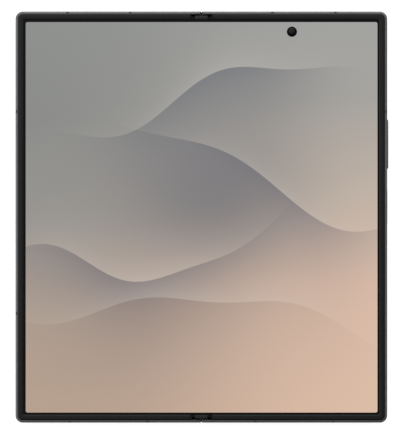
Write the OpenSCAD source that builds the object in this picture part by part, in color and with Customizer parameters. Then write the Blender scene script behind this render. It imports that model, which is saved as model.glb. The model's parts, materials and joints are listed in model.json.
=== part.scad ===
// Foldable smartphone, opened flat with its folding display up.
// X runs across the fold and Y along it towards the phone's top. Z points out of the display.
// The origin lies under the middle of the phone, in the plane of the rear camera rings.

/* [Body] */
// Width of the phone opened flat
open_w = 143.2; // [130:0.4:160]
// Length of the phone along the fold
body_l = 158.4; // [150:0.4:170]
// Thickness of one half
half_t = 4.2; // [4.1:0.1:5]
// Corner radius seen from the front
corner_r = 2.8; // [2.2:0.1:4]
// Wall of the frame
wall_t = 1.3; // [1.2:0.1:1.6]
// Width of the frame's bright rim beside the bezel
rim_w = 0.9; // [0.8:0.05:1.1]
// Rounding of the frame's front edge
front_edge_r = 0.6; // [0.3:0.1:0.7]
// Rounding of the frame's back edge
back_edge_r = 0.4; // [0.2:0.1:0.5]
// Seam between the two halves opened flat
seam_gap = 0.06; // [0.04:0.02:0.2]
// Thickness of the middle plate under the display
plate_t = 0.7; // [0.5:0.1:0.9]
// Thickness of the glass on each back
back_glass_t = 0.4; // [0.3:0.05:0.5]
// Width of the plastic antenna breaks
break_w = 1; // [0.6:0.1:1.4]
// Depth of the antenna breaks into the wall
break_depth = 0.7; // [0.5:0.1:0.8]

/* [Display] */
// Thickness of the folding display
screen_t = 0.55; // [0.45:0.05:0.6]
// Depth of the display's surface below the rim
screen_drop = 0.25; // [0.2:0.05:0.35]
// Distance of the display's edge from the phone's outline
screen_margin = 2.5; // [2.2:0.1:2.8]
// Width of the bezel's cover from the phone's outline inwards
bezel_w = 3.1; // [3:0.05:3.6]
// Height of the bezel's lip over the display
bezel_lip = 0.15; // [0.1:0.05:0.2]
// Radius of the front camera's hole
punch_r = 1.93; // [1.5:0.05:2.1]
// Distance of the front camera from the fold
punch_x = 34.9; // [30:0.5:45]
// Distance of the front camera below the phone's top
punch_from_top = 7.6; // [7:0.1:9]
// Thickness of the cover display's panel
cover_panel_t = 0.3; // [0.25:0.05:0.35]

/* [Fold] */
// Distance of each fold axis from the middle
axis_x = 1.4; // [1.3:0.05:1.5]
// Gap between the two rims of the folded phone
fold_gap = 0.5; // [0.4:0.1:0.7]
// Thickness of the spine's shell
spine_wall = 0.3; // [0.25:0.05:0.35]
// Running clearance round the spine
spine_gap = 0.05; // [0.04:0.01:0.08]
// Pitch radius of the synchronising gears
pitch_r = 0.7; // [0.68:0.01:0.72]
// Number of teeth on each gear
teeth = 12; // [12:4:16]
// Width of each gear
gear_w = 2; // [1.5:0.1:2.2]
// Middle radius of the rotators' arc rails
rail_r = 1.6; // [1.55:0.01:1.65]
// Thickness of an arc rail
rail_t = 0.6; // [0.5:0.05:0.65]
// Width of an arc rail along the fold
rail_w = 5; // [4:0.5:6]
// Running clearance of rails, arms and gears
run_gap = 0.05; // [0.04:0.01:0.07]
// Distance of a hinge unit's outer end from the phone's middle
unit_y = 68; // [66:0.5:70]
// Thickness of a wing plate
wing_t = 0.4; // [0.3:0.05:0.5]
// Distance of a wing plate's pivot from the fold
wing_pivot_x = 6.8; // [6.6:0.1:7]

/* [Cameras and ports] */
// Height of the camera island's base over the back
island_base_h = 1.3; // [0.8:0.1:1.6]
// Height of the lens rings over the island's base
ring_h = 1; // [0.6:0.1:1.4]
// Width of the camera island
island_w = 18; // [16:0.5:20]
// Distance between neighbouring rear lenses
lens_pitch = 18; // [15:0.5:19]
// Outer radius of a lens ring
ring_r = 7; // [6:0.1:7.4]
// Distance of the rear cameras from the phone's side
camera_edge = 13.1; // [12.5:0.1:14.5]
// Distance of the island's end below the phone's top
island_from_top = 5.5; // [5:0.5:8]
// Distance of the charging port from the fold
port_x = 35.8; // [30:0.5:44]
// Width of the charging port's opening
port_w = 8.34; // [8.34:0.01:8.4]
// Height of the charging port's opening
port_h = 2.56; // [2.56:0.01:2.6]
// Wall of the charging port's shell
port_wall = 0.2; // [0.15:0.01:0.21]
// Depth of the charging port
port_depth = 7; // [6.5:0.1:8]
// Distance of both loudspeakers from the phone's side
speaker_edge = 7.6; // [7:0.1:9]
// Width of a loudspeaker
speaker_w = 11; // [10.5:0.5:13]

/* [Keys and tray] */
// Length of the volume key
volume_l = 19; // [15:0.5:22]
// Height of the volume key's middle over the phone's middle
volume_y = 28.1; // [26:0.5:30]
// Distance that the volume key stands out
volume_out = 0.48; // [0.3:0.02:0.6]
// Length of the side key
side_key_l = 13.9; // [11:0.1:16]
// Height of the side key's middle over the phone's middle
side_key_y = 4; // [2:0.5:6]
// Distance that the side key stands out
side_key_out = 0.13; // [0.1:0.01:0.3]
// Height of both keys across the frame
key_h = 1.9; // [1.5:0.1:2.1]
// Width of the card tray
tray_w = 16; // [14:0.5:17]
// Length of the card tray
tray_l = 24; // [20:0.5:26]
// Thickness of the card tray
tray_t = 1.1; // [0.9:0.1:1.2]
// Distance of the card tray from the fold
tray_x = 35.8; // [32:0.2:42]

/* [Inside] */
// Width of the main battery
main_cell_w = 36; // [30:0.5:37]
// Length of the main battery
main_cell_l = 74; // [60:1:75]
// Distance of the second battery from the phone's side
cover_cell_edge = 6.6; // [6:0.1:12]
// Length of the second battery
cover_cell_l = 78; // [60:1:80]
// Thickness of the circuit boards
board_t = 0.6; // [0.4:0.1:0.8]
// Outer radius of the charging coil
coil_r = 20; // [16:0.5:22]
// Thickness of the charging coil
coil_t = 0.25; // [0.15:0.05:0.3]
// Length of a closing magnet
magnet_l = 7; // [5:0.5:9]
// Distance of the closing magnets from the phone's ends
magnet_end = 21.2; // [19:0.2:24]

/* [Hidden] */
$fn = 48;
// A cut reaches this far past the faces it opens
cut = 1;

// --- Outline and levels, counted from the back of the phone ---
half_w = open_w / 2;
half_l = body_l / 2;
island_h = island_base_h + ring_h;
camera_x = half_w - camera_edge;
seam = seam_gap / 2;
screen_top = half_t - screen_drop;
screen_z = screen_top - screen_t;
plate_z = screen_z - plate_t;
bezel_top = screen_top + bezel_lip;
glass_inset = 0.8;
glass_x = 4.6;
ledge_w = 2.4;
ledge_t = 0.4;
inner_l = half_l - wall_t;
seat_gap = 0.05;

// --- Fold axis, spine and lips ---
axis_z = half_t + fold_gap / 2 - axis_x;
lip_t = back_glass_t;
gutter_r = axis_z - lip_t;
spine_r = gutter_r - spine_gap;
spine_in_r = spine_r - spine_wall;
spine_floor_z = axis_z - spine_in_r;
spine_rim_drop = 0.76;
spine_rim_z = axis_z - spine_rim_drop;
end_gap = 0.1;
spine_l = 2 * (inner_l - end_gap);
cap_y = half_l - bezel_w + 2 * seat_gap;
spine_end_t = spine_l / 2 - cap_y;
nose_r = axis_x - seam;
notch_r = 0.5;

// --- Hinge block of each half: the floor under the links, and the wall beside the battery ---
link_drop = 1.35;
link_z = axis_z - link_drop;
block_top = link_z - seat_gap;
block_x = 13;
block_wall = 1;
cover_block_z = back_glass_t + cover_panel_t + seat_gap;
wing_edge_r = 0.3;
wing_pivot_z = screen_z - wing_edge_r;
wing_tip_x = 0.3;
wing_trunnion_r = 0.25;
wing_trunnion_l = 0.5;
plate_x = wing_pivot_x + wing_edge_r + seat_gap;

// --- Hinge unit: stations along Y, counted from the unit's outer end towards the middle ---
unit_wall = 0.8;
rail_bay = rail_w + 2 * run_gap;
right_rail_s = unit_wall;
left_rail_s = right_rail_s + rail_bay + unit_wall;
gear_bay = gear_w + 2 * run_gap;
gear_end_wall = unit_wall + 0.5;
gear_s = left_rail_s + rail_bay + gear_end_wall;
stack_s = gear_s + gear_bay + unit_wall;
stack_bay = 4.6;
unit_l = stack_s + stack_bay + unit_wall;
flange_l = 2.4;

// --- Links of the rotators ---
link_t = 0.55;
link_w = rail_w - 2;
pad_gap = 0.5;
pad_x = wing_pivot_x + wing_edge_r + pad_gap;
pad_l = 5;
pad_top = screen_z - seat_gap;
rail_start = 205;
rail_end = 318;
pad_screw_r = 0.5;
screw_head_r = 1;
screw_head_t = 0.4;

// --- Gears and arms ---
tooth_module = 2 * pitch_r / teeth;
tip_r = pitch_r + 0.8 * tooth_module;
root_r = pitch_r - tooth_module;
tooth_slack = 0.1;
idler_x = pitch_r;
arm_x = 3 * pitch_r;
bracket_gap = 0.03;
bracket_r = spine_in_r - bracket_gap;
bracket_drop = 0.55;
bracket_top = axis_z - bracket_drop;
gear_wall = 0.1;
arm_turn_r = bracket_r - gear_wall - tip_r;
gear_z = axis_z - sqrt(pow(arm_turn_r, 2) - pow(arm_x - axis_x, 2));
idler_pin_r = 0.25;
arm_shaft_r = 0.4;
paddle_t = 0.36;
paddle_drop = 0.22;
paddle_w = 1.2;
arm_pin_x = 5.6;
arm_pin_r = 0.2;
arm_pin_l = 2.6;
guide_w = 3.2;
guide_l = 3.5;
guide_wall = 0.5;
guide_floor = 0.22;
guide_roof_gap = 0.15;
guide_slot_w = 2 * arm_pin_r + 0.06;
guide_z = axis_z - paddle_drop - arm_turn_r - guide_slot_w / 2 - guide_floor;
guide_x1 = arm_x + arm_pin_x + arm_pin_r + guide_wall + 0.2;
guide_x0 = guide_x1 - guide_l;

// --- Keys ---
key_play = 0.22;
key_flange = 0.6;
key_flange_t = 0.4;
key_z = half_t / 2;
key_room_z0 = key_z - key_h / 2 - 0.25;
key_room_z1 = key_z + key_h / 2 + 0.2;

// A gear's outline: half the width of a tooth at its tip and root, as a share of the pitch
tip_share = 0.25 - tooth_slack;
root_share = 0.34;
function tooth_points(side) = [
    for (i = [0 : teeth - 1], p = [
        [root_r, -root_share], [tip_r, -tip_share], [tip_r, tip_share], [root_r, root_share]
    ]) let (a = (i + p[1] + side * 0.5) * 360 / teeth) [p[0] * cos(a), p[0] * sin(a)]
];

// --- Placing helpers ---

// Everything is drawn from the back face up, then lifted to stand on the camera rings
module lifted() { translate([0, 0, island_h]) children(); }

module both_ends() { for (flip = [0, 1]) mirror([0, flip, 0]) children(); }

module left_half() { mirror([1, 0, 0]) children(); }

// A piece of the XZ plane drawn from (0, 0) and stretched along Y from y0 over a length
module along_y(y0, length) {
    translate([0, y0 + length, 0]) rotate([90, 0, 0]) linear_extrude(length) children();
}

// A piece of the YZ plane stretched along X from x0 over a length
module along_x(x0, length) {
    translate([x0, 0, 0]) rotate([90, 0, 90]) linear_extrude(length) children();
}

// The same at a station of both hinge units
module in_unit(station, length) { both_ends() along_y(unit_y - station - length, length) children(); }

module box(x0, x1, y0, y1, z0, z1) { translate([x0, y0, z0]) cube([x1 - x0, y1 - y0, z1 - z0]); }

// A box with rounded upright edges
module soft_box(x0, x1, y0, y1, z0, z1, r) {
    translate([0, 0, z0]) linear_extrude(z1 - z0) {
        translate([x0 + r, y0]) square([x1 - x0 - 2 * r, y1 - y0]);
        translate([x0, y0 + r]) square([x1 - x0, y1 - y0 - 2 * r]);
        for (x = [x0 + r, x1 - r], y = [y0 + r, y1 - r]) translate([x, y]) circle(r, $fn = 24);
    }
}

module rod(x, z, r, y0, length) { along_y(y0, length) translate([x, z]) circle(r); }

// Plan of one half, inset from its three outer edges, from x0 outwards
module half_plan(inset, x0, least_r = 0.7) {
    w = half_w - inset;
    l = half_l - inset;
    r = max(corner_r - inset, least_r);
    translate([x0, -l]) square([w - r - x0, 2 * l]);
    translate([x0, r - l]) square([w - x0, 2 * (l - r)]);
    for (s = [-1, 1]) translate([w - r, s * (l - r)]) circle(r);
}

module half_slab(inset, x0, z0, z1) { translate([0, 0, z0]) linear_extrude(z1 - z0) half_plan(inset, x0); }

module half_ring(outer, inner, x0, z0, z1) {
    translate([0, 0, z0]) linear_extrude(z1 - z0) difference() {
        half_plan(outer, x0);
        half_plan(inner, x0 - cut);
    }
}

module stadium(w, h) {
    square([w - h, h], center = true);
    for (s = [-1, 1]) translate([s * (w - h) / 2, 0]) circle(h / 2);
}

// --- Frame of one half ---

// Section of the outer wall: the outer face is at 0 and the phone lies on the negative side
module wall_section() {
    difference() {
        translate([-wall_t, 0]) square([wall_t, half_t]);
        translate([-wall_t - cut, screen_z]) square([wall_t - rim_w + cut, half_t]);
        translate([-wall_t - cut, -cut]) square([wall_t - glass_inset + cut, back_glass_t + cut]);
        difference() {
            translate([-front_edge_r, half_t - front_edge_r]) square(front_edge_r + cut);
            translate([-front_edge_r, half_t - front_edge_r]) circle(front_edge_r);
        }
        difference() {
            translate([-back_edge_r, -cut]) square([back_edge_r + cut, back_edge_r + cut]);
            translate([-back_edge_r, back_edge_r]) circle(back_edge_r);
        }
    }
}

module outer_wall() {
    translate([half_w, 0, 0]) along_y(corner_r - half_l, 2 * (half_l - corner_r)) wall_section();
    both_ends() {
        translate([0, half_l, 0]) along_x(seam, half_w - corner_r - seam) wall_section();
        translate([half_w - corner_r, half_l - corner_r, 0]) rotate_extrude(angle = 90)
            translate([corner_r, 0]) wall_section();
    }
}

// Rounds the ends of the walls about the fold axis and the upright edges at the seam
module fold_clearance() {
    both_ends() {
        along_y(inner_l - cut, wall_t + 2 * cut) difference() {
            translate([-cut, axis_z]) square([axis_x + cut, half_t]);
            translate([axis_x, axis_z]) circle(nose_r);
        }
        translate([0, 0, -cut]) linear_extrude(half_t + 2 * cut) difference() {
            translate([seam - cut, half_l - notch_r]) square([notch_r + cut, notch_r + cut]);
            translate([seam + notch_r, half_l - notch_r]) circle(notch_r);
        }
    }
}

// The trough that the spine turns in
module gutter() { rod(axis_x, axis_z, gutter_r, -inner_l, 2 * inner_l); }

module hinge_block(bottom_z) {
    end = inner_l + seat_gap;
    difference() {
        union() {
            box(seam, glass_x - seat_gap, -end, end, 0, block_top);
            box(glass_x - 2 * seat_gap, block_x + block_wall, -end, end, bottom_z, block_top);
            box(block_x, block_x + block_wall, -end, end, bottom_z, screen_z);
        }
        gutter();
        box(-cut, axis_x, -inner_l, inner_l, lip_t, half_t);
    }
}

// Pockets for the arm guides, which stand on the block's floor
module guide_pockets() {
    in_unit(gear_s + gear_bay / 2 - guide_w / 2 - seat_gap, guide_w + 2 * seat_gap)
        translate([axis_x, guide_z]) square([guide_x1 + seat_gap - axis_x, half_t]);
}

// Antenna breaks of the top and bottom by their place along X, and of the side by their place along Y
module antenna_boxes(tops, bottoms, sides) {
    h = half_t + 2 * cut;
    reach = break_depth + cut;
    for (x = tops) translate([x - break_w / 2, half_l - break_depth, -cut]) cube([break_w, reach, h]);
    for (x = bottoms) translate([x - break_w / 2, -half_l - cut, -cut]) cube([break_w, reach, h]);
    for (y = sides) translate([half_w - break_depth, y - break_w / 2, -cut]) cube([reach, break_w, h]);
}
top_breaks = [27.4, half_w - 20];
bottom_breaks = [20.7, half_w - 20.8];
upper_break_y = 40.6;
lower_break_y = -37.1;
main_breaks = [top_breaks, bottom_breaks, [upper_break_y]];
cover_breaks = [top_breaks, bottom_breaks, [upper_break_y, lower_break_y]];

module screw_holes_in_block(rail_s) {
    both_ends() translate([pad_x + pad_l / 2, unit_y - rail_s - rail_bay / 2, guide_z])
        cylinder(r = pad_screw_r, h = half_t);
}

// What both frames share. The glass on the back rests on a ledge, and the middle plate carries the display
module frame_body(bottom_z, rail_s, breaks) {
    cable_y = flex_y - flex_w / 2 - cable_play;
    difference() {
        union() {
            outer_wall();
            half_slab(wall_t - seat_gap, plate_x, plate_z, screen_z);
            half_ring(wall_t - seat_gap, ledge_w, block_x, bottom_z, bottom_z + ledge_t);
            hinge_block(bottom_z);
        }
        fold_clearance();
        guide_pockets();
        both_ends() {
            // windows in the middle plate over the links and the arms
            box(plate_x - cut, block_x, unit_y - unit_l, unit_y + seat_gap, plate_z - cut, half_t);
            // blind holes for the wing plate's trunnions
            rod(wing_pivot_x, wing_pivot_z, wing_trunnion_r + run_gap, inner_l - cut,
                cut + wing_trunnion_l + seat_gap);
        }
        screw_holes_in_block(rail_s);
        // slots for the flex cables in the wall beside the battery
        both_ends() box(block_x - cut, block_x + block_wall + cut, cable_y, cable_y + flex_w + 2 * cable_play,
            flex_z - cable_gap, flex_z + flex_t + cable_gap);
        antenna_boxes(breaks[0], breaks[1], breaks[2]);
    }
}

module key_cuts(y, length) {
    room = length / 2 + key_flange + 0.4;
    translate([0, y, key_z]) along_x(half_w - wall_t - cut, wall_t + 2 * cut)
        stadium(length + 2 * run_gap, key_h + 2 * run_gap);
    // room for the flange and the switch behind it
    box(half_w - ledge_w - 1.2, half_w - wall_t, y - room, y + room, key_room_z0, key_room_z1);
}

// --- Ports along the bottom and top edges ---
port_outer_w = port_w + 2 * port_wall;
port_outer_h = port_h + 2 * port_wall;
port_z = (back_glass_t + screen_z) / 2;
port_seat_gap = 0.02;
speaker_x = half_w - speaker_edge - speaker_w / 2;
slot_w = 1.6;
slot_h = 1.2;
slot_pitch = 2;
speaker_slots = [for (i = [-2 : 2]) speaker_x + i * slot_pitch];
mic_r = 0.35;
mics = [port_x - 10.3, port_x + 9.2];

module port_cut() {
    translate([port_x, 0, port_z]) along_y(-half_l - cut, port_depth + cut + seat_gap)
        stadium(port_outer_w + 2 * seat_gap, port_outer_h + 2 * port_seat_gap);
}

module speaker_cut(y0) {
    for (x = speaker_slots) translate([x, 0, key_z]) along_y(y0, wall_t + 2 * cut) stadium(slot_w, slot_h);
}

module main_frame() {
    color("dimgray") lifted() difference() {
        frame_body(back_glass_t, right_rail_s, main_breaks);
        key_cuts(volume_y, volume_l);
        key_cuts(side_key_y, side_key_l);
        port_cut();
        speaker_cut(-half_l - cut);
        for (x = mics) rod(x, key_z, mic_r, -half_l - cut, wall_t + 2 * cut);
        rod(port_x, key_z, mic_r, inner_l - cut, wall_t + 2 * cut);
        translate([punch_x, half_l - punch_from_top, plate_z - cut]) cylinder(r = punch_r, h = half_t);
    }
}

module cover_frame() {
    color("dimgray") lifted() left_half() difference() {
        frame_body(cover_block_z, left_rail_s, cover_breaks);
        speaker_cut(inner_l - cut);
        tray_cut();
    }
}

module tray_cut() {
    translate([tray_x, 0, tray_z]) along_y(-half_l - cut, wall_t + 2 * cut)
        stadium(tray_face_w + 2 * run_gap, tray_face_h + 2 * run_gap);
}
tray_z = key_z - 0.2;
tray_face_w = tray_w + 0.6;
tray_face_h = 1.7;

module antenna_plugs(breaks) {
    intersection() {
        outer_wall();
        antenna_boxes(breaks[0], breaks[1], breaks[2]);
    }
}

module main_antenna_breaks() { color("gray") lifted() antenna_plugs(main_breaks); }

module cover_antenna_breaks() { color("gray") lifted() left_half() antenna_plugs(cover_breaks); }

// --- Back of the main half ---
island_l = 2 * lens_pitch + island_w + 1;
island_y = half_l - island_from_top - island_l / 2;
lens_ys = [for (i = [-1 : 1]) island_y + i * lens_pitch];
lens_r = ring_r - 1.4;
lens_t = 0.5;
lens_drop = 0.15;
island_bevel = 0.35;
flash_r = 2.6;
flash_x = camera_x - island_w / 2 - flash_r - 2.4;

module rear_glass() {
    color("silver") lifted() difference() {
        half_slab(glass_inset + seat_gap, glass_x, 0, back_glass_t);
        for (y = lens_ys) translate([camera_x, y, -cut]) cylinder(r = lens_r, h = 3 * cut);
        translate([flash_x, lens_ys[2], -cut]) cylinder(r = flash_r + seat_gap, h = 3 * cut);
    }
}

// Half of the island's section, with its bevelled edge
module island_section() {
    polygon([[0, 0], [island_w / 2, 0], [island_w / 2, island_bevel - island_base_h],
        [island_w / 2 - island_bevel, -island_base_h], [0, -island_base_h]]);
}

// Each lens has its own hole through the island
module camera_island() {
    straight = island_l - island_w;
    color("darkslategray") lifted() difference() {
        translate([camera_x, island_y, 0]) {
            along_y(-straight / 2, straight) union() {
                island_section();
                mirror([1, 0]) island_section();
            }
            for (s = [-1, 1]) translate([0, s * straight / 2, 0]) rotate_extrude() island_section();
        }
        for (y = lens_ys) translate([camera_x, y, -island_base_h - cut])
            cylinder(r = lens_r, h = island_base_h + 2 * cut);
    }
}

// Half of a lens ring's section, with its rounded rim
module ring_section() {
    difference() {
        translate([lens_r, 0]) square([ring_r - lens_r, ring_h]);
        difference() {
            translate([ring_r - ring_edge_r, -cut]) square(ring_edge_r + cut);
            translate([ring_r - ring_edge_r, ring_edge_r]) circle(ring_edge_r);
        }
    }
}
ring_edge_r = 0.35;

module camera_rings() {
    color("gray") lifted() for (y = lens_ys)
        translate([camera_x, y, -island_h]) rotate_extrude() ring_section();
}

module camera_lenses() {
    color("black") lifted() for (y = lens_ys)
        translate([camera_x, y, -island_h + lens_drop]) cylinder(r = lens_r - seat_gap, h = lens_t);
}

// A round barrel on a square base
module_w = 11.5;
module_r = 1;
module camera_modules() {
    barrel_z = lens_drop + lens_t - island_h;
    half = module_w / 2;
    color("black") lifted() for (y = lens_ys) translate([camera_x, y, 0]) {
        translate([0, 0, barrel_z]) cylinder(r = lens_r - 2 * seat_gap, h = back_glass_t + 0.4 - barrel_z);
        soft_box(-half, half, -half, half, back_glass_t + seat_gap, plate_z - seat_gap, module_r);
    }
}

module flash_lens() {
    color("white") lifted() translate([flash_x, lens_ys[2], 0]) cylinder(r = flash_r, h = back_glass_t + 0.4);
}

// --- Display ---
fold_strip_x = wing_pivot_x + 0.2;
fold_strip_l = 2 * (half_l - bezel_w + 0.05);

module screen_side() { half_slab(screen_margin, fold_strip_x, screen_z, screen_top); }

module display_right() {
    color("tan") lifted() difference() {
        screen_side();
        translate([punch_x, half_l - punch_from_top, 0]) cylinder(r = punch_r, h = 2 * half_t);
    }
}

module display_left() { color("tan") lifted() left_half() screen_side(); }

module display_fold() {
    color("tan") lifted()
        box(-fold_strip_x, fold_strip_x, -fold_strip_l / 2, fold_strip_l / 2, screen_z, screen_top);
}

// The foot stands beside the display and the lip covers its edge
cap_reach = 4.25;
module bezel() {
    half_ring(rim_w + seat_gap, screen_margin - seat_gap, cap_reach, screen_z, bezel_top);
    half_ring(screen_margin - 2 * seat_gap, bezel_w, cap_reach, screen_top, bezel_top);
}

module main_bezel() { color("black") lifted() bezel(); }

module cover_bezel() { color("black") lifted() left_half() bezel(); }

selfie_w = 6;
module front_camera() {
    half = selfie_w / 2;
    color("black") lifted() translate([punch_x, half_l - punch_from_top, 0]) {
        translate([0, 0, board_top]) cylinder(r = punch_r - 3 * seat_gap, h = screen_z - board_top);
        soft_box(-half, half, -half, half, board_top, plate_z - seat_gap, 2 * module_r / 3);
    }
}

module front_camera_lens() {
    color("black") lifted() translate([punch_x, half_l - punch_from_top, screen_z])
        cylinder(r = punch_r - seat_gap, h = screen_t - 0.1);
}

// --- Charging port ---
tongue_w = 6.2;
tongue_t = 0.7;

module port_shell() {
    color("silver") lifted() translate([port_x, 0, port_z]) difference() {
        along_y(0.1 - half_l, port_depth - 0.1) stadium(port_outer_w, port_outer_h);
        along_y(-half_l - cut, port_depth + cut - 0.6) stadium(port_w, port_h);
    }
}

module port_tongue() {
    color("black") lifted() translate([port_x, 0, port_z])
        along_y(0.9 - half_l, port_depth - 1.5) square([tongue_w, tongue_t], center = true);
}

// --- Inside of the main half ---
board_z = back_glass_t + 0.5;
board_top = board_z + board_t;
bay_margin = 2;
inside_x = block_x + block_wall + bay_margin;
cell_r = 1.5;
cell_z = back_glass_t + coil_t + 0.1;
main_cell_x = inside_x + 1;
board_low = lens_ys[0] - 10;
main_cell_y = (port_depth - half_l + board_low) / 2 - bay_margin;
main_cell_y0 = main_cell_y - main_cell_l / 2;
main_cell_y1 = main_cell_y + main_cell_l / 2;
board_y0 = main_cell_y1 + bay_margin;
board_x1 = camera_x - island_w / 2 - 0.5;
board_edge = 3.6;
strip_x = main_cell_x + main_cell_w + bay_margin;
strip_y0 = magnet_end + magnet_l / 2 + 2.5 - half_l;

module main_battery() {
    color("dimgray") lifted() soft_box(main_cell_x, main_cell_x + main_cell_w, main_cell_y0, main_cell_y1,
        cell_z, plate_z - seat_gap, cell_r);
}

module charging_coil() {
    middle_x = main_cell_x + main_cell_w / 2;
    color("peru") lifted() translate([middle_x, main_cell_y, back_glass_t]) difference() {
        cylinder(r = coil_r, h = coil_t);
        translate([0, 0, -cut]) cylinder(r = coil_r / 2, h = coil_t + 2 * cut);
    }
}

// The board fills the top of the bay beside the cameras, and a strip of it runs down beside the battery
module main_board() {
    edge = inner_l - 1.4;
    far = half_w - board_edge;
    color("darkgreen") lifted() difference() {
        translate([0, 0, board_z]) linear_extrude(board_t) polygon([
            [inside_x, edge], [inside_x, board_y0], [strip_x, board_y0], [strip_x, strip_y0],
            [far, strip_y0], [far, board_low], [board_x1, board_low], [board_x1, edge]
        ]);
        translate([flash_x, lens_ys[2], 0]) cylinder(r = flash_r + 0.3, h = half_t);
    }
}

// Two cans share the board's length below the front camera
can_r = 0.8;
can_gap = 3;
module shield_cans() {
    y0 = board_y0 + 10;
    y1 = half_l - punch_from_top - selfie_w / 2 - 7.6;
    can_l = (y1 - y0 - can_gap) / 2;
    x1 = [board_x1 - 2 * can_gap, flash_x - flash_r - can_gap];
    color("silver") lifted() for (i = [0, 1]) translate([0, y0 + i * (can_l + can_gap), 0])
        soft_box(inside_x + 1, x1[i], 0, can_l, board_top, plate_z - seat_gap, can_r);
}

speaker_l = 9.9;
module loudspeaker(y0, z0) {
    half = speaker_w / 2;
    translate([speaker_x, y0, 0]) soft_box(-half, half, 0, speaker_l, z0, plate_z - seat_gap, cell_r);
}

module main_speaker() { color("black") lifted() loudspeaker(end_gap - inner_l, board_z); }

motor_l = 11.5;
motor_w = 6;
module vibration_motor() {
    x0 = inside_x + 0.5;
    y0 = 1.4 - inner_l;
    color("silver") lifted()
        soft_box(x0, x0 + motor_l, y0, y0 + motor_w, board_z, plate_z - seat_gap, motor_w / 2 - 1);
}

magnet_w = 2.4;
magnet_edge = ledge_w + 0.4;
module magnets() {
    both_ends() box(half_w - magnet_edge - magnet_w, half_w - magnet_edge, half_l - magnet_end - magnet_l / 2,
        half_l - magnet_end + magnet_l / 2, cover_block_z + ledge_t, plate_z - seat_gap);
}

module main_magnets() { color("silver") lifted() magnets(); }

module cover_magnets() { color("silver") lifted() left_half() magnets(); }

// --- Keys: a cap through the wall, and a flange behind it ---
module key_shape(length, out) {
    cap_x = half_w - wall_t - key_play;
    flange = [length + 2 * key_flange - 1, key_h + 0.2];
    translate([0, 0, key_z]) {
        along_x(cap_x, wall_t + key_play + out) stadium(length - 2 * run_gap, key_h - 2 * run_gap);
        along_x(cap_x - key_flange_t, key_flange_t) square(flange, center = true);
    }
}

module volume_key() {
    color("dimgray") lifted() translate([0, volume_y, 0]) key_shape(volume_l, volume_out);
}

module side_key() {
    color("dimgray") lifted() translate([0, side_key_y, 0]) key_shape(side_key_l, side_key_out);
}

module key_switches() {
    switch_t = 0.4;
    x1 = half_w - wall_t - key_play - key_flange_t - 0.3;
    color("goldenrod") lifted() for (key = [[volume_y, volume_l], [side_key_y, side_key_l]])
        translate([x1 - switch_t, key[0] - key[1] / 2 + 0.5, key_room_z0 + 0.1])
            cube([switch_t, key[1] - 1, plate_z - seat_gap - key_room_z0 - 0.1]);
}

// --- Hinge: spine ---

// Section of the spine's outside or inside: two quarter rounds about the fold axes joined by a flat
module spine_section(r, top) {
    intersection() {
        fold_rounds(r);
        square_between(-2 * r, 2 * r, axis_z - 2 * r, top);
    }
}

module hinge_spine() {
    color("gray") lifted() difference() {
        along_y(-spine_l / 2, spine_l) spine_section(spine_r, spine_rim_z);
        along_y(spine_end_t - spine_l / 2, spine_l - 2 * spine_end_t) spine_section(spine_in_r, half_t);
        link_windows();
        // blind holes for the bracket screws
        bracket_screw_places() translate([0, 0, spine_floor_z - screw_bite])
            cylinder(r = bracket_screw_r, h = cut);
    }
}

// Openings in the spine and the brackets that the links and arms leave through
module link_windows() {
    in_unit(right_rail_s + rail_bay / 2 - link_w / 2 - run_gap, link_w + 2 * run_gap)
        translate([axis_x, link_z - seat_gap]) square([2 * spine_r, half_t]);
    left_half() in_unit(left_rail_s + rail_bay / 2 - link_w / 2 - run_gap, link_w + 2 * run_gap)
        translate([axis_x, link_z - seat_gap]) square([2 * spine_r, half_t]);
    for (s = [0, 1]) mirror([s, 0, 0])
        in_unit(gear_s + gear_bay / 2 - paddle_w / 2 - run_gap, paddle_w + 2 * run_gap)
            translate([arm_x, gear_z - paddle_drop - paddle_t / 2 - seat_gap]) square([2 * spine_r, half_t]);
}

screw_bite = 0.2;
bracket_screw_r = 0.45;
flange_t = 0.5;
module bracket_screw_places() {
    both_ends() for (s = [-flange_l / 2, unit_l + flange_l / 2]) translate([0, unit_y - s, 0]) children();
}

// Grooves for one rotator's arc rail
module rail_groove(side, station) {
    mirror([side, 0, 0]) in_unit(station, rail_bay) difference() {
        translate([axis_x, axis_z]) circle(rail_r + rail_t / 2 + run_gap);
        translate([axis_x, axis_z]) circle(rail_r - rail_t / 2 - run_gap);
    }
}

module hinge_brackets() {
    color("lightsteelblue") lifted() difference() {
        union() {
            in_unit(0, unit_l) intersection() {
                spine_section(bracket_r, bracket_top);
                translate([-2 * spine_r, spine_floor_z]) square([4 * spine_r, half_t]);
            }
            // flat foot on the spine's floor
            in_unit(-flange_l, unit_l + 2 * flange_l)
                square_between(-axis_x, axis_x, spine_floor_z, spine_floor_z + flange_t);
        }
        rail_groove(0, right_rail_s);
        rail_groove(1, left_rail_s);
        link_windows();
        gear_bay_cut();
        // bay of the friction stack
        in_unit(stack_s, stack_bay)
            square_between(-2 * spine_r, 2 * spine_r, gear_z - plate_reach, gear_z + half_t);
        // bearings of the arm shafts and seats of the idler pins
        for (s = [-1, 1]) {
            in_unit(gear_s - unit_wall / 2, unit_l - gear_s)
                translate([s * arm_x, gear_z]) circle(arm_shaft_r + run_gap / 2);
            in_unit(gear_s - unit_wall / 2, gear_bay + unit_wall)
                translate([s * idler_x, gear_z]) circle(idler_pin_r);
        }
        bracket_screw_places() translate([0, 0, spine_floor_z - cut])
            cylinder(r = bracket_screw_r + seat_gap, h = 3 * cut);
    }
}

module gear_bay_cut() {
    in_unit(gear_s, gear_bay) {
        for (x = [-arm_x, -idler_x, idler_x, arm_x]) translate([x, gear_z]) circle(tip_r + run_gap);
        translate([-2 * spine_r, gear_z]) square([4 * spine_r, half_t]);
    }
}

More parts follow.
